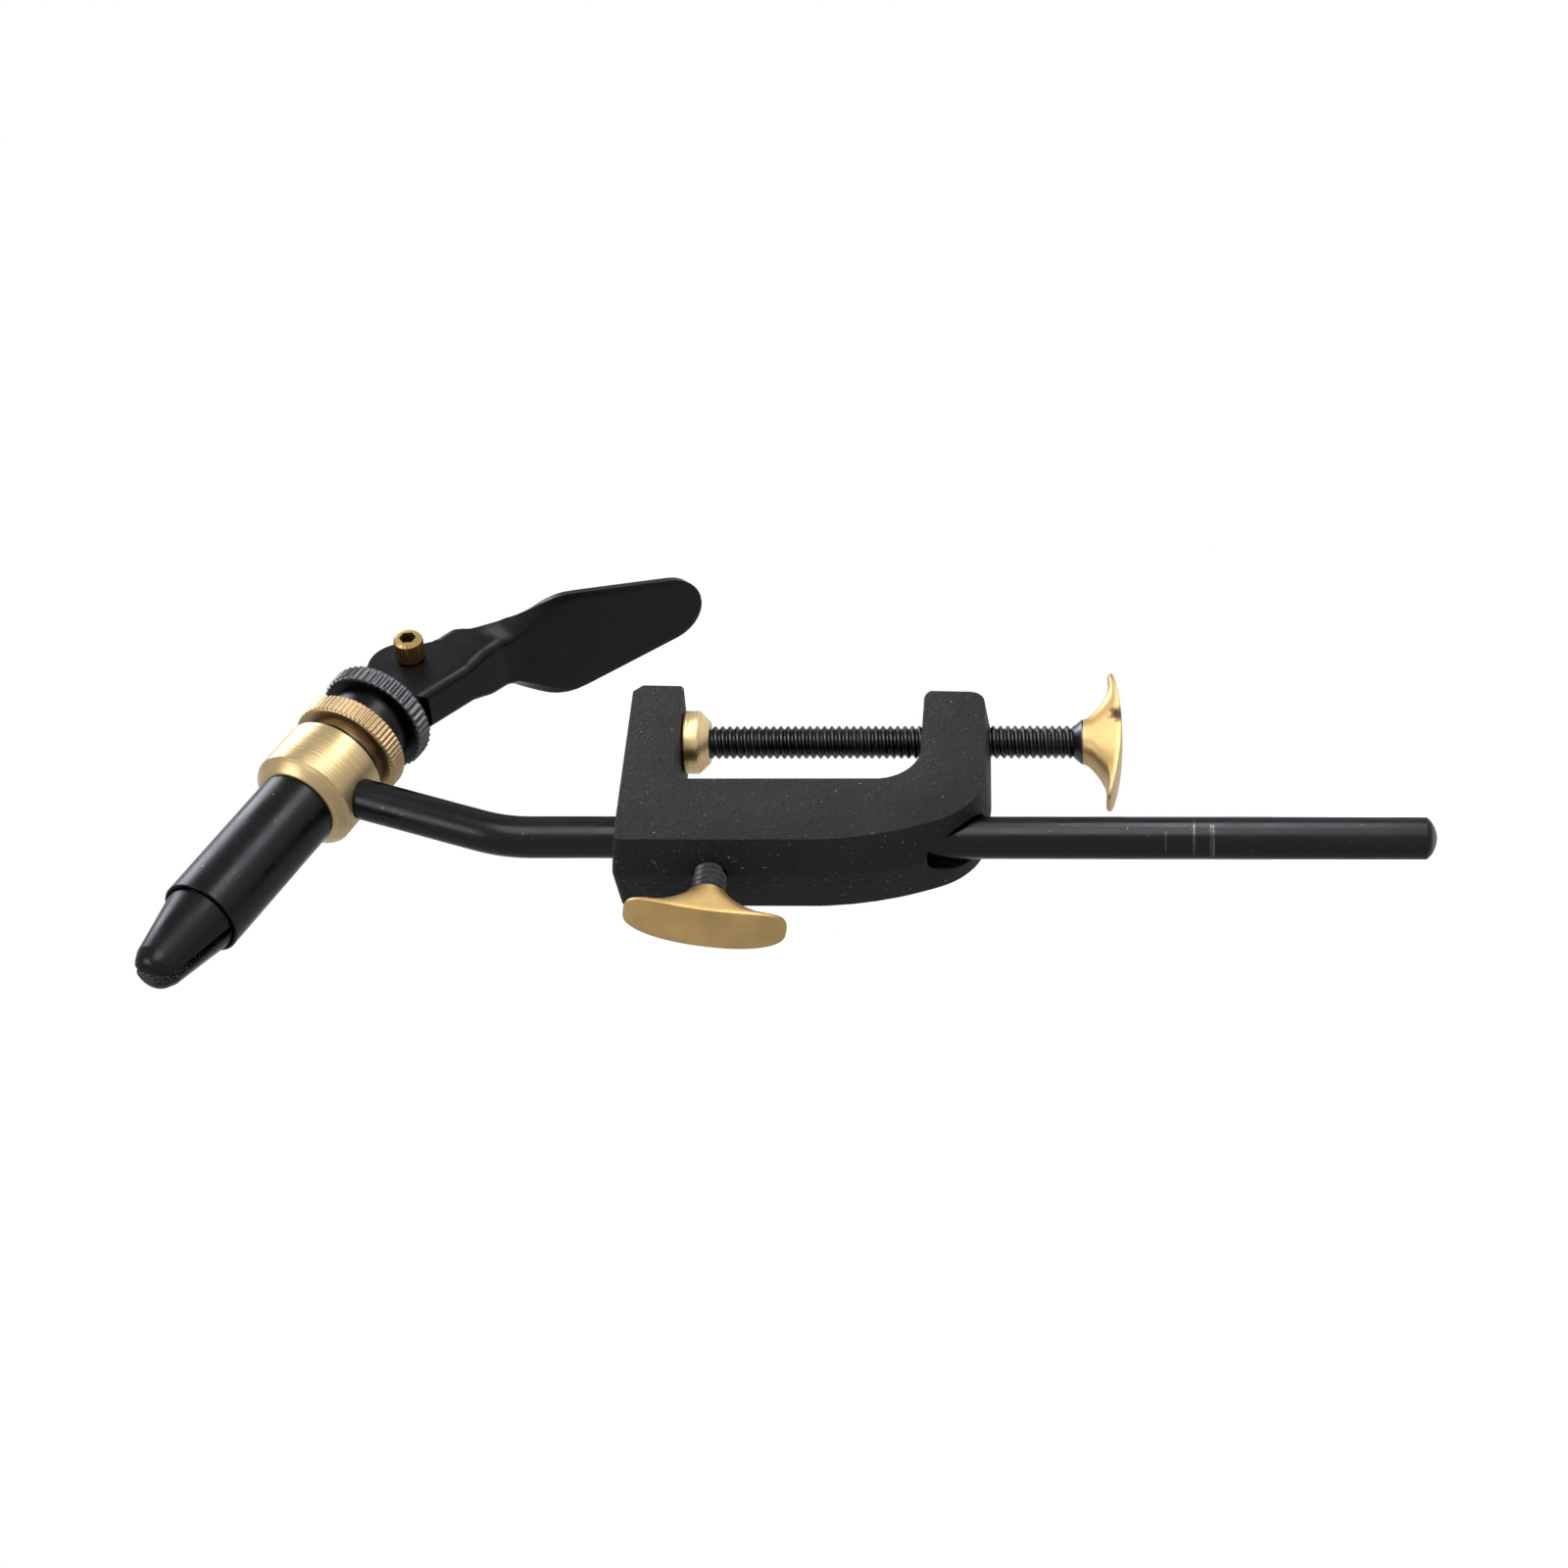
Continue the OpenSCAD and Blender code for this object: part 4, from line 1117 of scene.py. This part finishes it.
# %% Cut the web between the cams
cut_end, cut_half = -5.9, 2.6
paddle_spot = Vector((pivot_z, 0, -66))
clear_picks(lever, "FACE")
for face in lever.data.polygons:
    mid = face.center / MM
    run = (pivot_z - mid.z) * along_web.x - mid.x * along_web.y
    face.select = run < cut_end and abs(mid.y) < cut_half
bpy.ops.object.mode_set(mode="EDIT")
bpy.ops.mesh.delete(type="FACE")
bpy.ops.mesh.select_mode(type="VERT")
bpy.ops.mesh.select_all(action="SELECT")
bpy.ops.mesh.remove_doubles(threshold=0.02 * MM)
bpy.ops.mesh.normals_make_consistent(inside=False)
bpy.ops.object.mode_set(mode="OBJECT")
paddle = min(lever.data.polygons, key=lambda f: (f.center - paddle_spot * MM).length)
if paddle.normal.x > 0:
    bpy.ops.object.mode_set(mode="EDIT")
    bpy.ops.mesh.select_all(action="SELECT")
    bpy.ops.mesh.flip_normals()
    bpy.ops.object.mode_set(mode="OBJECT")
print("sheet:", len(lever.data.polygons), "faces")

# %% Thickness, pivot holes and broken edges
hole_r, drill_length = 1.55, 14
sheet = lever.modifiers.new("sheet", "SOLIDIFY")
sheet.thickness = gauge * MM
sheet.offset = -1
sheet.use_quality_normals = True
bpy.ops.object.modifier_apply(modifier="sheet")
bpy.ops.mesh.primitive_cylinder_add(vertices=48, radius=hole_r * MM, depth=drill_length * MM,
                                    location=(0, 0, pivot_z * MM), rotation=(math.pi / 2, 0, 0))
drill = bpy.context.object
pick_only(lever)
holes = lever.modifiers.new("holes", "BOOLEAN")
holes.operation = "DIFFERENCE"
holes.object = drill
bpy.ops.object.modifier_apply(modifier="holes")
bpy.data.objects.remove(drill)
break_edges(lever, width=0.3, segments=3, angle=50)
clean(lever, 40)
onto_head(lever)
dress(lever, "lever", black_sheet, "lever")

# %% [markdown]
# ## The pivot nut
# A small brass nut holds the lever's pivot on the near side. It is turned, its side is cut into
# fine flutes for the fingers, and a hexagon socket is sunk in its end down to the steel of the
# screw. The socket's points are drawn in to six flats.

# %% Pivot nut
nut_r, nut_height, nut_seat = 2.95, 4.9, -4.8
socket_r, socket_flat, socket_floor = 1.73, 1.5, 3.5
flutes, flute_shares = 24, (1.0, 0.5, 0.0, 0.5)
socket_seen = socket_floor - nut_seat + 0.3
nut = turned("pivot_nut_turned", [
    (1.6, 0), (nut_r - 0.3, 0), (nut_r, 0.3), (nut_r, nut_height - 0.55), (nut_r - 0.5, nut_height - 0.04),
    (2.2, nut_height), (socket_r + 0.02, nut_height), (socket_r + 0.01, nut_height - 0.15),
    (socket_r, socket_floor), (0.9, socket_floor), (0.3, socket_floor)], flutes * len(flute_shares))
knurl(nut, flutes, depth=0.2, inside=nut_r - 0.15, pattern=flute_shares)
for point in nut.data.vertices:
    turn = math.atan2(point.co.y, point.co.x)
    radius = math.hypot(point.co.x, point.co.y) / MM
    if socket_r - 0.03 < radius < socket_r + 0.03 and point.co.z > (socket_floor - 0.1) * MM:
        part = (turn + math.pi / 6) % (math.pi / 3) - math.pi / 6
        flat_r = socket_flat * MM / math.cos(part)
        point.co.x, point.co.y = flat_r * math.cos(turn), flat_r * math.sin(turn)
clean(nut, 35)
place(nut, turn=(math.pi / 2, 0, 0), at=(0, nut_seat, pivot_z))
onto_head(nut)
dress(nut, "collet", brass_nut, "pivot_nut")


def in_socket(face):
    away = face.center - head_place - head_line * pivot_z * MM
    return math.hypot(away.x, away.z) < (socket_flat - 0.1) * MM and -face.center.y < socket_seen * MM


give_faces(nut, black_head, in_socket)

# %% [markdown]
# ## The floor
# A plain white sheet lies under the stem's lower end. It looks white to the camera, as the paper
# in the photo does, and still takes a soft shadow.

# %% Floor
floor_size, floor_z = 1.6, -0.150
deselect()
bpy.ops.mesh.primitive_plane_add(size=floor_size, location=(0, 0, floor_z))
floor = bpy.context.object
floor.name = "paper_floor"
paper, shader = new_finish("white paper", (0.9, 0.9, 0.9), 0.0, 0.8)
tree = paper.node_tree
glow = tree.nodes.new("ShaderNodeEmission")
glow.inputs["Strength"].default_value = 0.7
both = tree.nodes.new("ShaderNodeAddShader")
rays = tree.nodes.new("ShaderNodeLightPath")
pick = tree.nodes.new("ShaderNodeMixShader")
tree.links.new(shader.outputs["BSDF"], both.inputs[0])
tree.links.new(glow.outputs["Emission"], both.inputs[1])
tree.links.new(rays.outputs["Is Camera Ray"], pick.inputs["Fac"])
tree.links.new(shader.outputs["BSDF"], pick.inputs[1])
tree.links.new(both.outputs["Shader"], pick.inputs[2])
tree.links.new(pick.outputs["Shader"], tree.nodes["Material Output"].inputs["Surface"])
floor.data.materials.append(paper)
print("floor:", floor.name)
